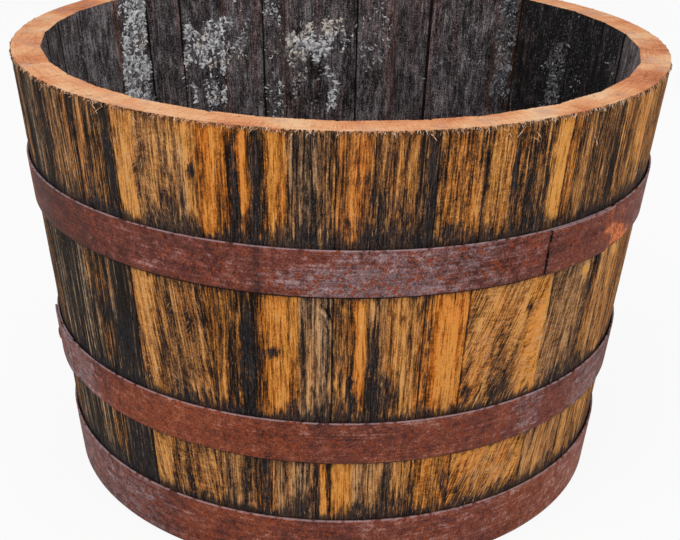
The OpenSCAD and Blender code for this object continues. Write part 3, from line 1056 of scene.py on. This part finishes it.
def outsideLook(at, crackShade, knotShade, pale):
    # tone, greyness and soot, then how orange the wood is and how its figure ripples
    tone, grey = toneOf(at)
    moreGrey, orange, curl = washOf(at)
    grey = np.clip(grey + moreGrey, 0, 1)
    tone = tone + pale - woodLook["knotTone"] * knotShade
    stubble = np.exp(-at.fromTop / (1.2 + 4.5 * lattice(at.u * .7, 0, at.seed + 6))) * .95
    soot = np.maximum.reduce([sootOf(at), crackShade, knotShade * .8, stubble])
    for chipAngle, chipZ, size in chips:
        distance = np.hypot((at.angle - chipAngle) * at.perDegree, (at.level - chipZ) * 1.3)
        chipped = smooth(1.6 - distance / size + (at.ridge - .5) * .5)
        tone = tone + (woodLook["chipTone"] - tone) * chipped
        soot, grey = soot * (1 - chipped), grey * (1 - chipped)
    return tone, grey, soot, orange, curl


def insideLook(at, z, chance):
    # tint, soot in the joints and rust along them
    tint = staveBuild["innerTint"] + chance.uniform(-.1, .1) + .1 * layered(at.angle * .2, z * .01, 99)
    tint = tint - .5 * between(turned(at.angle, -80), 98, 138, 12)
    shut = opennessOf(at, rustyJoints)
    soot = np.minimum(1, 1.8 * np.exp(-at.edge / (.8 + 1.2 * lattice(at.angle, z * .01, 91)))) * (.35 + .65 * shut)
    rust = .75 * (1 - shut) * np.exp(-at.edge / (1.4 + 2 * lattice(at.angle * .6, z * .03, 93)))
    return tint, soot, rust


def makeStave(name):
    build = staveBuild
    at = stavePlaces(name)
    chance = np.random.default_rng(at.number)
    deep, *marks = marksOf(at.angle, at.level, at.perDegree)
    outer = outerRadius(at.level) - (wearOf(at, chance) + deep) * at.outside
    flake = layered(at.u * .3, at.level * .05, at.seed + 7) - .5
    crust, brightness = crustOf(at.angle, at.level)
    hollow = .9 * flake - .8 * crust * layered(at.u * .5, at.level * .3, at.seed + 8)
    hollow = hollow + .8 * (1 - np.clip(at.edge / 2, 0, 1)) ** 2
    inner = plainInside(at.level, np.radians(at.angle - at.mid)) + at.inside * hollow
    z, notch = sawnRim(at)
    grid = roundPlace(at.angle, outer * (1 - at.depth) + inner * at.depth, z)

    tone, grey, soot, orange, curl = outsideLook(at, *marks)
    innerTint, innerSoot, rust = insideLook(at, z, chance)
    rimTint = build["rimTint"] - .12 * smooth((abs(turned(at.mid, -180)) - 45) / 30) + chance.uniform(-.08, .07)
    grainU = at.u - grainLeans.get(at.number, 0) * np.minimum(z - hoopHeights["upper_hoop"][0], 0)

    faces, faceMaterials = staveFaces(np.arange(z.size).reshape(z.shape), at.rowCount, at.rimCount)
    mesh = newMesh("oakStave_" + name[-2:], grid.reshape(-1, 3), (), faces)
    for material in (oakOutside, oakRim, oakChar):
        mesh.materials.append(material)
    mesh.polygons.foreach_set("material_index", np.asarray(faceMaterials, np.int32))
    soften(mesh, build["sharpAngle"])
    inside = at.inside[..., None]
    store(mesh, "grainAt", np.stack([grainU, z, 0 * z + at.number * build["grainApart"]], -1))
    store(mesh, "look", np.where(inside, np.stack([innerTint, crust, innerSoot], -1),
                                 np.stack([tone, grey, soot], -1)))
    store(mesh, "wear", np.where(inside, np.stack([-flake * 2, orange, rust], -1),
                                 np.stack([(at.ridge - .5) * 2, orange, curl], -1)))
    store(mesh, "rimTint", rimTint - .16 * notch)
    store(mesh, "sawAt", np.stack([at.u, at.depth * staveThick, 0 * z + at.number * build["sawApart"]], -1))
    finishPiece(placeObject(mesh.name, mesh), "stave_oak", name)

    insideRows = slice(at.rowCount + at.rimCount, 2 * at.rowCount + at.rimCount)
    fibres = np.stack([*fibresOf(at.angle, z), tone], -1)
    outsidePart = grid[1:-1:2, :at.rowCount], fibres[1:-1:2, :at.rowCount]
    insidePart = grid[2:-2:2, insideRows], np.stack([crust, brightness], -1)[2:-2:2, insideRows]
    return grid[:, at.rowCount - 1], outsidePart, insidePart


rimEdges, outsideParts, insideParts = zip(*(makeStave(name) for name in staveNames))
print("staves made:", len(staveNames))


# Splinters: torn fibres that hang from the sawn edge

splinterLook = {
    "spacing": .4 * mm,   # between splinters along the edge
    "shortest": 1.0 * mm,
    "longest": 4.6 * mm,
    "thickness": .52 * mm,
    "spread": .8,         # how far they lean sideways
    "standOut": .7,       # how far they lean out
    "seed": 7,
    **limits,
}

# Longer fibres that the saw tore loose: angle, height, length, lean sideways, lean out
looseFibres = [
    (23.6, 446, 11, .7, .35), (24.6, 441, 8, -.5, .3), (27.4, 446, 14, -.75, .3), (29.2, 440, 9, .5, .35),
    (28.4, 436, 7, 1.2, .3), (41.4, 426, 12, .25, .22), (42.6, 420, 9, -.3, .25), (-36.4, 446, 10, -.9, .3),
    (-38.6, 445, 8, .9, .25), (-31, 446, 9, .8, .2), (-52, 446, 8, -.5, .3), (12.8, 446, 7, .6, .3),
    (-6.2, 446, 6, -.4, .3), (102, 444, 10, .6, .3), (171, 446, 9, -.6, .3), (226, 445, 11, .5, .3),
]

# root: mm under the face where they start; thick and tip: half widths in mm
looseLook = {"sides": 5, "steps": 9, "root": 1.2, "thick": .55, "tip": .08, "sharpAngle": 40}


def makeSplinterFinish():
    material, tree = newMaterial("tornFibres", .15, .75)
    grain = noiseOf(objectPlace(tree), (900, 900, 300), 2)
    return endMaterial(material, rampOf(attributeOf(tree, "tint") + swing(grain, .5), [
        (0, (.012, .008, .007)), (.24, (.060, .028, .016)), (.44, (.270, .115, .050)),
        (.66, (.600, .320, .150)), (.86, (.820, .560, .360)), (1, (.900, .770, .650))]))


def makeSplinterTree():
    tree, given = newTree("tornFibres", splinterLook)
    edge = flow("GeometryNodeMeshToCurve", {0: given["Geometry"]})
    points = flow("GeometryNodeCurveToPoints", {"Curve": edge, "Length": given["spacing"]}, mode="LENGTH")
    sparse = noiseOf(positionIn(tree), (45, 45, 0), 2) - randomOf(tree, .02, .48, 11)
    points = flow("GeometryNodeDeleteGeometry", {
        "Geometry": points, "Selection": calc("LESS_THAN", sparse, 0.0)}, domain="POINT")
    points = moved(points, combine(z=randomOf(tree, -1.0, .7, 3) * .001))
    outward, sideways = directionsAt(tree)
    lean = randomOf(tree, -1.0, 1.0, 5) * given["spread"]
    out = randomOf(tree, .1, 1.0, 6) * given["standOut"]
    aim = vectorCalc("ADD", scaled(sideways, lean * -1.0), scaled(outward, out))
    aim = vectorCalc("ADD", aim, (0, 0, -1))
    length = calc("POWER", randomOf(tree, .0, 1.0, given["seed"]), 2.2)
    length = calc("MULTIPLY_ADD", length, given["longest"] - given["shortest"], given["shortest"])
    wide = given["thickness"] * randomOf(tree, .55, 1.4, 8)
    fibre = source(tree, "GeometryNodeMeshCone", 0, {
        "Vertices": 4, "Side Segments": 3, "Radius Top": .12, "Radius Bottom": 1.0, "Depth": 1.0})
    height = split(positionIn(tree))[2]
    bent = moved(fibre, combine(height * height * 2.2))
    fibres = scatter(points, bent, aimed(aim), combine(wide, wide, length), randomOf(tree, .05, 1.0, 9))
    return endTree(holdIn(fibres, given), given["Material"])


def makeSplinters():
    points, edges = [], []
    for edge in rimEdges:
        first = len(points)
        points.extend(edge.tolist())
        edges.extend((first + k, first + k + 1) for k in range(len(edge) - 1))
    seedObject = placeObject("rimEdge", newMesh("rimEdge", points, edges))
    piece = grow(seedObject, "rimSplinters", makeSplinterTree(), splinterLook, tornFibres)
    finishPiece(piece, "stave_oak")


def makeLooseFibres():
    look = looseLook
    points, faces, tints = [], [], []
    sides, steps = look["sides"], look["steps"]
    for angle, height, length, lean, out in looseFibres:
        start = roundPlace(angle, outerRadius(height) - look["root"], height) / mm
        outward, sideways = directionsOf(angle)
        index = len(points) + np.arange((steps + 1) * sides).reshape(steps + 1, sides)
        for step in range(steps + 1):
            t = step / steps
            curl = math.sin(t * 2.6) * .35 * length
            middle = start + length * t * (sideways * lean + outward * out * math.sin(t * 2.4) * .8)
            middle = middle + np.array([0, 0, -length * .8 * t]) + sideways * curl * lean * .4
            thick = look["thick"] * (1 - t) ** .6 + look["tip"]
            for side in range(sides):
                a = 2 * math.pi * side / sides
                points.append(middle + outward * thick * math.cos(a) * .6 + sideways * thick * math.sin(a))
                tints.append(.72 + .2 * math.sin(angle * 7 + step))
        faces += tubeFaces(index) + [index[0].tolist(), index[-1, ::-1].tolist()]
    points = np.array(points) * mm
    points[:, :2] *= np.minimum(1, limits["reach"] / np.hypot(points[:, 0], points[:, 1]))[:, None]
    mesh = newMesh("looseFibres", points, (), faces)
    mesh.materials.append(tornFibres)
    soften(mesh, look["sharpAngle"])
    store(mesh, "tint", tints)
    finishPiece(placeObject(mesh.name, mesh), "stave_oak")


# Fibres that lift from the face of the staves

raisedLook = {
    "width": .46 * mm,
    "thickness": .3 * mm,
    "scatter": 9.0,       # degrees each side of the patch's lean
    "taper": taper,
    "seed": 5,
    **limits,
}


def makeRaisedTree():
    tree, given = newTree("raisedFibres", raisedLook)
    points = strewn(given, named(tree, "perSquareCm") * 10000)
    outward, sideways = directionsAt(tree)
    lean = calc("MULTIPLY_ADD", randomOf(tree, -1.0, 1.0, 21), given["scatter"], named(tree, "lean"))
    lean = calc("RADIANS", lean)
    upward = vectorCalc("ADD", scaled(outward, given["taper"]), (0, 0, 1))
    aim = vectorCalc("ADD", scaled(sideways, calc("SINE", lean)), scaled(upward, calc("COSINE", lean)))
    rotation = aimed(outward, "X", aimed(aim), "Z")
    size = combine(given["thickness"] * randomOf(tree, .6, 1.3, 23), given["width"] * randomOf(tree, .5, 1.3, 24),
                   named(tree, "fibreLength") * randomOf(tree, .45, 1.25, 22) * .001)
    spindle = source(tree, "GeometryNodeMeshUVSphere", 0, {"Segments": 5, "Rings": 5, "Radius": .5})
    z = split(positionIn(tree))[2]
    bent = moved(spindle, combine(calc("POWER", z + .5, 2.0) * .7, z * z * 1.1))
    tint = calc("MULTIPLY_ADD", named(tree, "woodTone"), .55, randomOf(tree, .02, .36, 25))
    return endTree(holdIn(scatter(points, bent, rotation, size, tint), given), given["Material"])


def makeRaisedFibres():
    seedObject = gridsToMesh("outsideFaces", outsideParts, ("perSquareCm", "lean", "fibreLength", "woodTone"))
    piece = grow(seedObject, "raisedFibres", makeRaisedTree(), raisedLook, tornFibres)
    print("faces of raised fibres:", len(piece.data.polygons))
    finishPiece(piece, "stave_oak")


tornFibres = makeSplinterFinish()
makeSplinters()
makeLooseFibres()
makeRaisedFibres()
print("splinters grown")


# Crust: pale flakes that cling to the charred inside

crustLook = {
    "density": 235000.0,      # per square metre
    "length": 7.2 * mm,
    "width": 2.7 * mm,
    "thickness": 1.5 * mm,
    "roughness": 1.2 * mm,
    "lowest": 12.0 * mm,      # heights between which the middles of the flakes lie
    "highest": 447.0 * mm,
    "seed": 3,
    **limits,
}


def makeCrustFinish():
    material, tree = newMaterial("paleCrust", .25, .6)
    at = objectPlace(tree)
    grain = noiseOf(at, 500, 3, .6)
    colour = rampOf(attributeOf(tree, "tint") + swing(grain, .7), [
        (0, (.016, .015, .017)), (.25, (.090, .088, .098)), (.5, (.300, .295, .310)),
        (.8, (.590, .580, .600)), (1, (.840, .830, .835))])
    warm = stepUp(noiseOf(at, (22, 22, 30), 2), .5, .62)
    colour = blendColour(warm, colour, tinted(colour, (1.0, .90, .80)))
    return endMaterial(material, colour, grain, .0005, .6)


def makeCrustTree():
    tree, given = newTree("clingingFlakes", crustLook)
    strength = named(tree, "crust")
    where = positionIn(tree)
    height = split(where)[2]
    allowed = calc("GREATER_THAN", height, given["lowest"]) * calc("LESS_THAN", height, given["highest"])
    clump = stepUp(noiseOf(where, (80, 80, 60), 3, .6) + strength * .1, .46, .6)
    share = stepUp(strength + swing(noiseOf(where, 30), .9), .28, .95) * allowed
    points = strewn(given, share * clump * given["density"])
    tilt = randomOf(tree, (-.6, -.6, -3.14), (.6, .6, 3.14), 4, "FLOAT_VECTOR")
    rotation = flow("FunctionNodeRotateRotation", {
        0: points.beside("Rotation"), 1: flow("FunctionNodeEulerToRotation", {0: tilt})}, rotation_space="LOCAL")
    big = randomOf(tree, .4, 1.35, 5) * (strength * .75 + .35)
    size = combine(given["length"] * big, given["width"] * (big * randomOf(tree, .6, 1.3, 6)),
                   given["thickness"] * (big * randomOf(tree, .7, 1.6, 7)))
    chip = source(tree, "GeometryNodeMeshIcoSphere", 0, {"Radius": .5, "Subdivisions": 1})
    flakes = scatter(points, chip, rotation, size, named(tree, "brightness") * randomOf(tree, .2, 1.4, 9))
    return endTree(holdIn(dented(flakes, 330, given["roughness"]), given), given["Material"])


def makeCrust():
    seedObject = gridsToMesh("insideFaces", insideParts, ("crust", "brightness"))
    piece = grow(seedObject, "clingingCrust", makeCrustTree(), crustLook, makeCrustFinish(), sharpAngle=28)
    print("flakes of crust:", len(piece.data.polygons) // 20)
    finishPiece(piece, "stave_oak")


makeCrust()


# Head boards: charred above, bare below

headLook = {
    "evenSize": 2.4,      # mm between points
    "ridges": .6,
    "bareTone": .5,
    "greyness": .5,
    "charFrom": .5,       # mm above the middle of the boards
    "seed": 700,
    "grainApart": 41.3,
}


def evenCopy(node):
    # a copy of a node with an even grid of points over it and slightly rounded edges
    mesh = nodes[node].data.copy()
    shell = bmesh.new()
    shell.from_mesh(mesh)
    bmesh.ops.remove_doubles(shell, verts=shell.verts, dist=1e-5)
    shell.to_mesh(mesh)
    shell.free()
    copied = placeObject(node + "_even", mesh)
    evened = copied.modifiers.new("even", "REMESH")
    evened.mode = "VOXEL"
    evened.voxel_size = headLook["evenSize"] * mm
    graph = bpy.context.evaluated_depsgraph_get()
    result = bpy.data.meshes.new_from_object(copied.evaluated_get(graph))
    bpy.data.objects.remove(copied)
    return result


def makeBoard(name):
    look = headLook
    number = int(name[-1])
    mesh = evenCopy(name)
    mesh.name = "oakBoard_" + name[-1]
    places, normals = readVectors(mesh.vertices, "co"), readVectors(mesh.vertices, "normal")
    x, y, z = places.T / mm
    low, high = (corner.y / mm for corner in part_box(name))
    edge = np.minimum(y - low, high - y)
    seed = look["seed"] + number
    ridge = lattice(y * .3, x * .012, seed) * .6 + lattice(y * .5, x * .03, seed + 10) * .4
    wave = layered(y * .03, x * .01, seed + 20)
    drop = look["ridges"] * (1 - ridge) + .6 * (1 - wave) + .8 * np.exp(-np.maximum(edge, 0) / 1.5)
    mesh.vertices.foreach_set("co", (places - normals * drop[:, None] * mm).ravel())
    charred = z > crozeZ + look["charFrom"]
    joint = np.exp(-np.maximum(edge - .5, 0) / 2)
    rimShade = smooth((np.hypot(x, y) - headRadius + 30) / 26)
    tone = look["bareTone"] + .25 * (layered(y * .04, x * .01, seed + 30) - .5)
    tint = .5 + .1 * layered(x * .01, y * .03, 740)
    crust = .55 * layered(x * .02, y * .02, 750) ** 2 * 2
    store(mesh, "look", np.stack([np.where(charred, tint, tone), np.where(charred, crust, look["greyness"]),
                                  np.maximum(joint, .8 * rimShade)], -1))
    store(mesh, "wear", np.stack([(ridge - .5) * 2, 0 * z, np.where(charred, 0, .2)], -1))
    store(mesh, "grainAt", np.stack([y, x, 0 * z + 900 + number * look["grainApart"]], -1))
    mesh.materials.clear()
    mesh.materials.append(oakOutside)
    mesh.materials.append(oakChar)
    above = readVectors(mesh.polygons, "center")[:, 2] / mm > crozeZ + look["charFrom"]
    mesh.polygons.foreach_set("material_index", above.astype(np.int32))
    soften(mesh)
    finishPiece(placeObject(mesh.name, mesh), "head_oak", name)


for name in sorted(name for name in nodes if name.startswith("head_board_")):
    makeBoard(name)
print("head boards made")


def makeDowelFinish():
    material, tree = newMaterial("dowelOak", .15, .7)
    grain = noiseOf(objectPlace(tree), (500, 30, 500))
    colour = rampOf(grain, [(0, (.10, .05, .02)), (.5, (.42, .22, .09)), (1, (.66, .42, .20))])
    return endMaterial(material, colour, grain, .0004)


nodes["head_dowels"].data.materials.clear()
nodes["head_dowels"].data.materials.append(makeDowelFinish())


# Rust

def spotsOf(at, scale, small, large, where):
    # round spots of one size, kept where a mask allows them
    cells = flow("ShaderNodeTexVoronoi", {"Vector": at, "Scale": scale, "Randomness": 1.0}, "Distance")
    return calc("MULTIPLY", 1.0 - stepUp(cells, small, large), where, clamp=True)


def makeRust():
    material, tree = newMaterial("rustedHoop", .1, .68)
    at = objectPlace(tree)
    across, along = attributeOf(tree, "across"), attributeOf(tree, "along")
    red, grey, stain = split(attributeOf(tree, "patina", "Vector"))
    blotch = noiseOf(at, (60, 60, 80), 4, .65)
    cloud = noiseOf(at, (150, 150, 170), 3, .6)
    grit = noiseOf(at, 700, 2, .6)
    scrape = noiseOf(at, (9, 9, 520), 2, .6)
    value = swing(noiseOf(at, (9, 9, 14)), .7) + .50 + swing(blotch, .8) + swing(cloud, 1.0)
    value = value + swing(grit, 1.3) + swing(scrape, .6) + red * .12

    # brown rust, orange where it is fresh, mauve where the steel shows
    colour = rampOf(value, [
        (0, (.028, .010, .009)), (.3, (.088, .028, .022)), (.5, (.155, .045, .033)),
        (.7, (.235, .066, .043)), (1, (.380, .130, .075))])
    orange = rampOf(value, [
        (0, (.035, .010, .007)), (.3, (.120, .030, .016)), (.5, (.210, .050, .022)),
        (.7, (.320, .080, .030)), (1, (.500, .170, .060))])
    colour = blendColour(stepUp(red + swing(blotch, 1.6), .1, 1.0) * .8, colour, orange)
    mauve = rampOf(value, [
        (0, (.034, .018, .020)), (.3, (.135, .078, .083)), (.6, (.300, .205, .216)), (1, (.600, .475, .500))])
    greyShare = grey + .08 + swing(blotch, 1.3) + swing(cloud, 1.2) + swing(scrape, .9) + swing(grit, .4)
    colour = blendColour(stepUp(greyShare, .2, 1.1) * .72, colour, mauve)
    flare = stepUp(red * .5 + swing(blotch, 1.4), .75, 1.3)
    colour = blendColour(flare, colour, rampOf(value, [
        (.2, (.200, .030, .010)), (.5, (.500, .095, .026)), (.8, (.760, .220, .070))]))

    # freckles, pits and sparks
    here = stepUp(noiseOf(at, (45, 45, 60), 3, .6) + calc("MAXIMUM", red, grey) * .16, .47, .60)
    freckles = calc("MAXIMUM", spotsOf(at, 190.0, .22, .42, here), spotsOf(at, 380.0, .22, .44, here * .8))
    freckles = calc("MAXIMUM", freckles, spotsOf(at, 110.0, .22, .30, here))
    rusted = blendColour(stepUp(grit, .3, .7), (.150, .026, .012), (.400, .088, .030))
    colour = blendColour(freckles * .82, colour, rusted)
    pits = spotsOf(at, 340.0, .12, .24, stepUp(noiseOf(at, (30, 30, 40), 2), .48, .6))
    colour = blendColour(pits * .85, colour, (.014, .007, .007))
    colour = blendColour(spotsOf(at, 150.0, .03, .07, 1.0) * .8, colour, (.560, .330, .250))
    stained = calc("MULTIPLY", stain, stepUp(cloud, .36, .56), clamp=True)
    colour = blendColour(stained, colour, (.022, .013, .013))

    # the visible end of the lap, with painted shadow and rust stain in its gap and painted glints on its edge; a
    # painted shadow on the foot of the hoop; a painted highlight on its upper edge
    # painted shadow and rust stain: a dark line at the lap's end, with painted glints along it
    seam = calc("ABSOLUTE", calc("WRAP", along, 180.0, -180.0)) + swing(noiseOf(at, 160, 2), .5)
    lapEndShadowAndGlints = blendColour(stepUp(grit, .62, .7), (.010, .007, .007), (.420, .330, .310))
    colour = blendColour(1.0 - stepUp(seam, .0, .07), colour, lapEndShadowAndGlints)
    # painted shadow: the lowest part of the strip darker, as shade under the hoop
    colour = blendColour((1.0 - stepUp(across, .0, .04)) * .55, colour, (.014, .008, .008))
    # painted highlight: the upper edge of the strip lighter, where light falls on it
    bright = stepUp(across, .972, .99) * stepUp(cloud, .36, .52)
    colour = blendColour(bright * .6, colour, (.46, .34, .37))
    shine = mapped(grey, 0.0, 1.0, .68, .52)
    return endMaterial(material, colour, cloud + grit * .35 - pits * .5, .0009, .8, shine)


hoopRust = makeRust()


# Hoops: a strip's section goes in, the bent and lapped strip comes out

hoopShape = {
    "thickness": 2.0,
    "play": .2,
    "lap": 86.0,
    "joggle": 8.0,
    "rounding": .55,
    "waviness": .35,
    "steps": 850,
    "sectionStep": 4.5,
    "lapEnds": {"upper_hoop": 35, "middle_hoop": -76, "foot_hoop": 150},
}


def makeHoopTree(values):
    tree, given = newTree("bentHoop", values)
    line = source(tree, "GeometryNodeCurvePrimitiveLine")
    path = flow("GeometryNodeResampleCurve", {"Curve": line, "Count": given["steps"]})
    going = source(tree, "GeometryNodeSplineParameter", "Factor") * (given["lapAngle"] + 360)
    stepDown = mapped(going, given["lapAngle"], given["lapAngle"] + given["joggleAngle"], 1.0, 0.0, "SMOOTHSTEP")
    turn = calc("RADIANS", given["lapEnd"] + going)
    radius = calc("MULTIPLY_ADD", stepDown, given["stepOut"], given["middleRadius"])
    place = combine(calc("SINE", turn) * radius, calc("COSINE", turn) * (radius * -1.0), given["middleHeight"])
    bent = flow("GeometryNodeSetPosition", {"Geometry": path, "Position": place})
    marked = flow("GeometryNodeStoreNamedAttribute", {"Geometry": bent, "Name": "along", "Value": going},
                  data_type="FLOAT", domain="POINT")
    upright = flow("GeometryNodeSetCurveNormal", {"Curve": marked}, mode="Z_UP")
    section = flow("GeometryNodeMeshToCurve", {0: given["Geometry"]})
    strip = flow("GeometryNodeCurveToMesh", {"Curve": upright, "Profile Curve": section, "Fill Caps": True})
    return endTree(dented(strip, (22, 22, 30), given["waviness"]), given["Material"])


def stripSection(width):
    # rounded rectangle, across the strip in x and up it in y, leaned with the cask's side;
    # then how far up the strip each point lies
    rounding = hoopShape["rounding"]
    half, tall = hoopShape["thickness"] / 2, width / 2
    points, ring = [], []
    for cx, cy, turn in ((half, tall, 0), (-half, tall, 90), (-half, -tall, 180), (half, -tall, 270)):
        for step in (0, 45, 90):
            a = math.radians(turn + step)
            points.append((cx - math.copysign(rounding, cx) + rounding * math.cos(a),
                           cy - math.copysign(rounding, cy) + rounding * math.sin(a)))
    for here, following in zip(points, points[1:] + points[:1]):
        count = max(1, round(math.dist(here, following) / hoopShape["sectionStep"]))
        ring.extend(np.linspace(here, following, count, endpoint=False))
    x, y = np.array(ring)[::-1].T
    return np.stack([x + y * taper, -y, 0 * x], -1) * mm, y / width + .5


# Patina along each hoop: from angle, to angle, from and to as a share of the hoop's width,
# then redness (-1 brown to 1 orange), greyness and dark stain
patinas = {
    "upper_hoop": [
        (-66, -56, -1, 2, -.4, .2, .5), (-56, -44, -1, 2, .1, 0, .5), (-34, -6, -1, 2, .1, .15, 0),
        (-12.6, -11.2, -1, 2, 0, 0, .8), (-8, 14, -1, .6, .1, .7, 0), (-1, 24, -1, 2, .15, .65, 0),
        (22, 35, -1, 2, .1, .25, 0), (35, 49, -1, 2, .2, .05, .1), (50.2, 54.6, .4, .66, 3.2, 0, 0),
        (52.6, 57, .1, .46, 3.6, 0, 0), (55, 59, -.4, .16, 3.4, 0, 0), (49, 62, -1, 2, .3, .1, 0),
        (49, 51, .8, 2, 1.6, 0, 0), (62, 90, -1, 2, .3, .3, 0), (128, 160, -1, 2, -.3, .6, 0),
        (220, 250, -1, 2, .6, 0, 0)],
    "middle_hoop": [
        (-66, -50, -1, 2, -.2, .8, 0), (-48, -5, -1, 2, .7, .05, 0), (-60.6, -60, -1, 2, 0, 0, 1.2),
        (-5, 34, -1, 2, .35, .08, .05), (34, 41, -1, 2, 0, .6, 0),
        (50, 66, -1, 2, 0, .6, .1), (110, 150, -1, 2, .5, .1, 0), (200, 240, -1, 2, 0, .6, 0)],
    "foot_hoop": [
        (-70, -34, -1, 2, -.3, .55, 0), (-30, -6, -1, 2, .6, .1, 0), (0, 50, -1, 2, .3, .2, 0),
        (36, 66, -1, 2, .7, .1, 0), (50, 80, -1, 2, .2, .25, 0), (140, 190, -1, 2, .5, .2, .1),
        (230, 270, -1, 2, -.2, .6, 0)],
}


def storePatina(mesh, name):
    x, y, z = readVectors(mesh.vertices, "co").T / mm
    low, high = hoopHeights[name]
    angle = np.degrees(np.arctan2(x, -y))
    ragged = (layered(angle * .5, z * .08, 141) - .5) * 9
    patina = np.zeros((len(x), 3))
    for fromAngle, toAngle, fromShare, toShare, *change in patinas[name]:
        edge = min(12, (toAngle - fromAngle) * .7)
        share = between(turned(angle, fromAngle - 90) + ragged * min(1, edge / 6), fromAngle, toAngle, edge)
        share = share * between((z - low) / (high - low) + ragged * .04, fromShare, toShare, .2)
        patina += share[:, None] * change
    store(mesh, "patina", patina)


def hoopValues(name):
    shape = hoopShape
    middle = sum(hoopHeights[name]) / 2
    radius = outerRadius(middle) + shape["play"] + shape["thickness"] / 2
    return {
        "middleRadius": radius * mm,
        "middleHeight": middle * mm,
        "lapEnd": float(shape["lapEnds"][name]),
        "lapAngle": math.degrees(shape["lap"] / radius),
        "joggleAngle": math.degrees(shape["joggle"] / radius),
        "stepOut": (shape["thickness"] + shape["play"]) * mm,
        "waviness": shape["waviness"] * mm,
        "steps": shape["steps"],
    }


def makeHoop(tree, name):
    low, high = hoopHeights[name]
    points, across = stripSection(high - low)
    count = len(points)
    seedMesh = newMesh(name + "_section", points, [(k, (k + 1) % count) for k in range(count)])
    store(seedMesh, "across", across)
    piece = grow(placeObject(seedMesh.name, seedMesh), "rustyHoop_" + name.split("_")[0], tree, hoopValues(name),
                 hoopRust)
    storePatina(piece.data, name)
    finishPiece(piece, "hoop_steel", name)


hoopTree = makeHoopTree(hoopValues(hoopNames[0]))
for name in hoopNames:
    makeHoop(hoopTree, name)
print("hoops bent:", len(hoopNames))


# Rivets in the laps

rivetShape = {"diameter": 13.0 * mm, "height": 1.6 * mm, "hammering": .5 * mm}
rivetPlaces = {"inset": 24.0, "pitch": 38.0}   # mm along the lap


def makeRivetTree():
    tree, given = newTree("hoopRivets", rivetShape)
    ball = source(tree, "GeometryNodeMeshUVSphere", 0, {"Segments": 28, "Rings": 12, "Radius": 1.0})
    half = given["diameter"] * .5
    rotation = aimed(named(tree, "outward", "FLOAT_VECTOR"))
    rivets = scatter(given["Geometry"], ball, rotation, combine(half, half, given["height"]))
    return endTree(dented(rivets, 260, given["hammering"]), given["Material"])


def makeRivets(tree, name):
    middle = sum(hoopHeights[name]) / 2
    radius = outerRadius(middle)
    face = radius + 1.5 * hoopShape["play"] + 2 * hoopShape["thickness"]
    places, outwards = [], []
    for along in (rivetPlaces["inset"], rivetPlaces["inset"] + rivetPlaces["pitch"]):
        angle = hoopShape["lapEnds"][name] + math.degrees(along / radius)
        places.append(roundPlace(angle, face, middle))
        outwards.append(directionsOf(angle)[0] - (0, 0, taper))
    seedMesh = newMesh(name + "_rivetPlaces", places)
    store(seedMesh, "outward", outwards)
    piece = grow(placeObject(seedMesh.name, seedMesh), "hoopRivets_" + name.split("_")[0], tree, rivetShape,
                 hoopRust)
    storePatina(piece.data, name)
    # rivets lie mid-strip and away from the lap's end, so the painted shadows and the painted highlight of the strip
    # miss them
    store(piece.data, "across", np.full(len(piece.data.vertices), .5))
    store(piece.data, "along", np.full(len(piece.data.vertices), 90))
    finishPiece(piece, "rivet_steel", name + "_rivets")


rivetTree = makeRivetTree()
for name in hoopNames:
    makeRivets(rivetTree, name)
print("rivets set")


# Floor and light

stageLook = {
    "floorSide": 30,       # metres from the middle to a side
    "floorDrop": .0005,
    "floorTone": .82,
    "sky": .62,
    "dimWithin": (.25, .27),   # metres from the middle; the floor is dim for the camera under the cask
    "dim": .15,
    "lampAim": (0, 0, .25),
    # place, size and power of each lamp
    "lamps": {"keyLight": ((-.9, -1.5, 2.3), 1.4, 20.0), "fillLight": ((1.6, -.9, 1.4), 1.6, 6.0)},
}


def seenIn(tree):
    # 1 for the rays that show a thing, 0 for those that light one
    camera = source(tree, "ShaderNodeLightPath", "Is Camera Ray")
    return calc("MAXIMUM", camera, calc("MAXIMUM", camera.beside("Is Glossy Ray"),
                                        camera.beside("Is Transmission Ray")))


def makeFloor():
    side = stageLook["floorSide"]
    mesh = newMesh("floor", [(-side, -side, 0), (side, -side, 0), (side, side, 0), (-side, side, 0)], (),
                   [(0, 1, 2, 3)])
    floor = placeObject("floor", mesh)
    floor.location.z = -stageLook["floorDrop"]
    material = bpy.data.materials.new("paleFloor")
    material.use_nodes = True
    tree = material.node_tree
    tree.nodes.clear()
    plain = source(tree, "ShaderNodeBsdfDiffuse", 0, {"Color": (stageLook["floorTone"],) * 3 + (1,)})
    white = source(tree, "ShaderNodeEmission", 0, {"Color": (1, 1, 1, 1), "Strength": 1.0})
    fromMiddle = flow("ShaderNodeVectorMath", {0: objectPlace(tree)}, "Value", operation="LENGTH")
    clear = calc("MULTIPLY_ADD", stepUp(fromMiddle, *stageLook["dimWithin"]), .75, stageLook["dim"])
    both = flow("ShaderNodeMixShader", {0: seenIn(tree) * clear, 1: plain, 2: white})
    put(tree, "ShaderNodeOutputMaterial", {"Surface": both})
    mesh.materials.append(material)


def makeSky():
    world = bpy.data.worlds.new("studio")
    bpy.context.scene.world = world
    world.use_nodes = True
    tree = world.node_tree
    tree.nodes.clear()
    strength = mapped(seenIn(tree), 0.0, 1.0, stageLook["sky"], 1.0)
    sky = flow("ShaderNodeBackground", {"Color": (1, 1, 1, 1), "Strength": strength})
    put(tree, "ShaderNodeOutputWorld", {"Surface": sky})


def makeLamp(name, place, size, power):
    data = bpy.data.lights.new(name, "AREA")
    data.size = size
    data.energy = power
    light = placeObject(name, data)
    light.location = place
    light.rotation_mode = "QUATERNION"
    light.rotation_quaternion = (Vector(stageLook["lampAim"]) - Vector(place)).to_track_quat("-Z", "Y")


makeFloor()
makeSky()
for name, lamp in stageLook["lamps"].items():
    makeLamp(name, *lamp)
bpy.context.scene.view_settings.view_transform = "Standard"
print("stage lit")
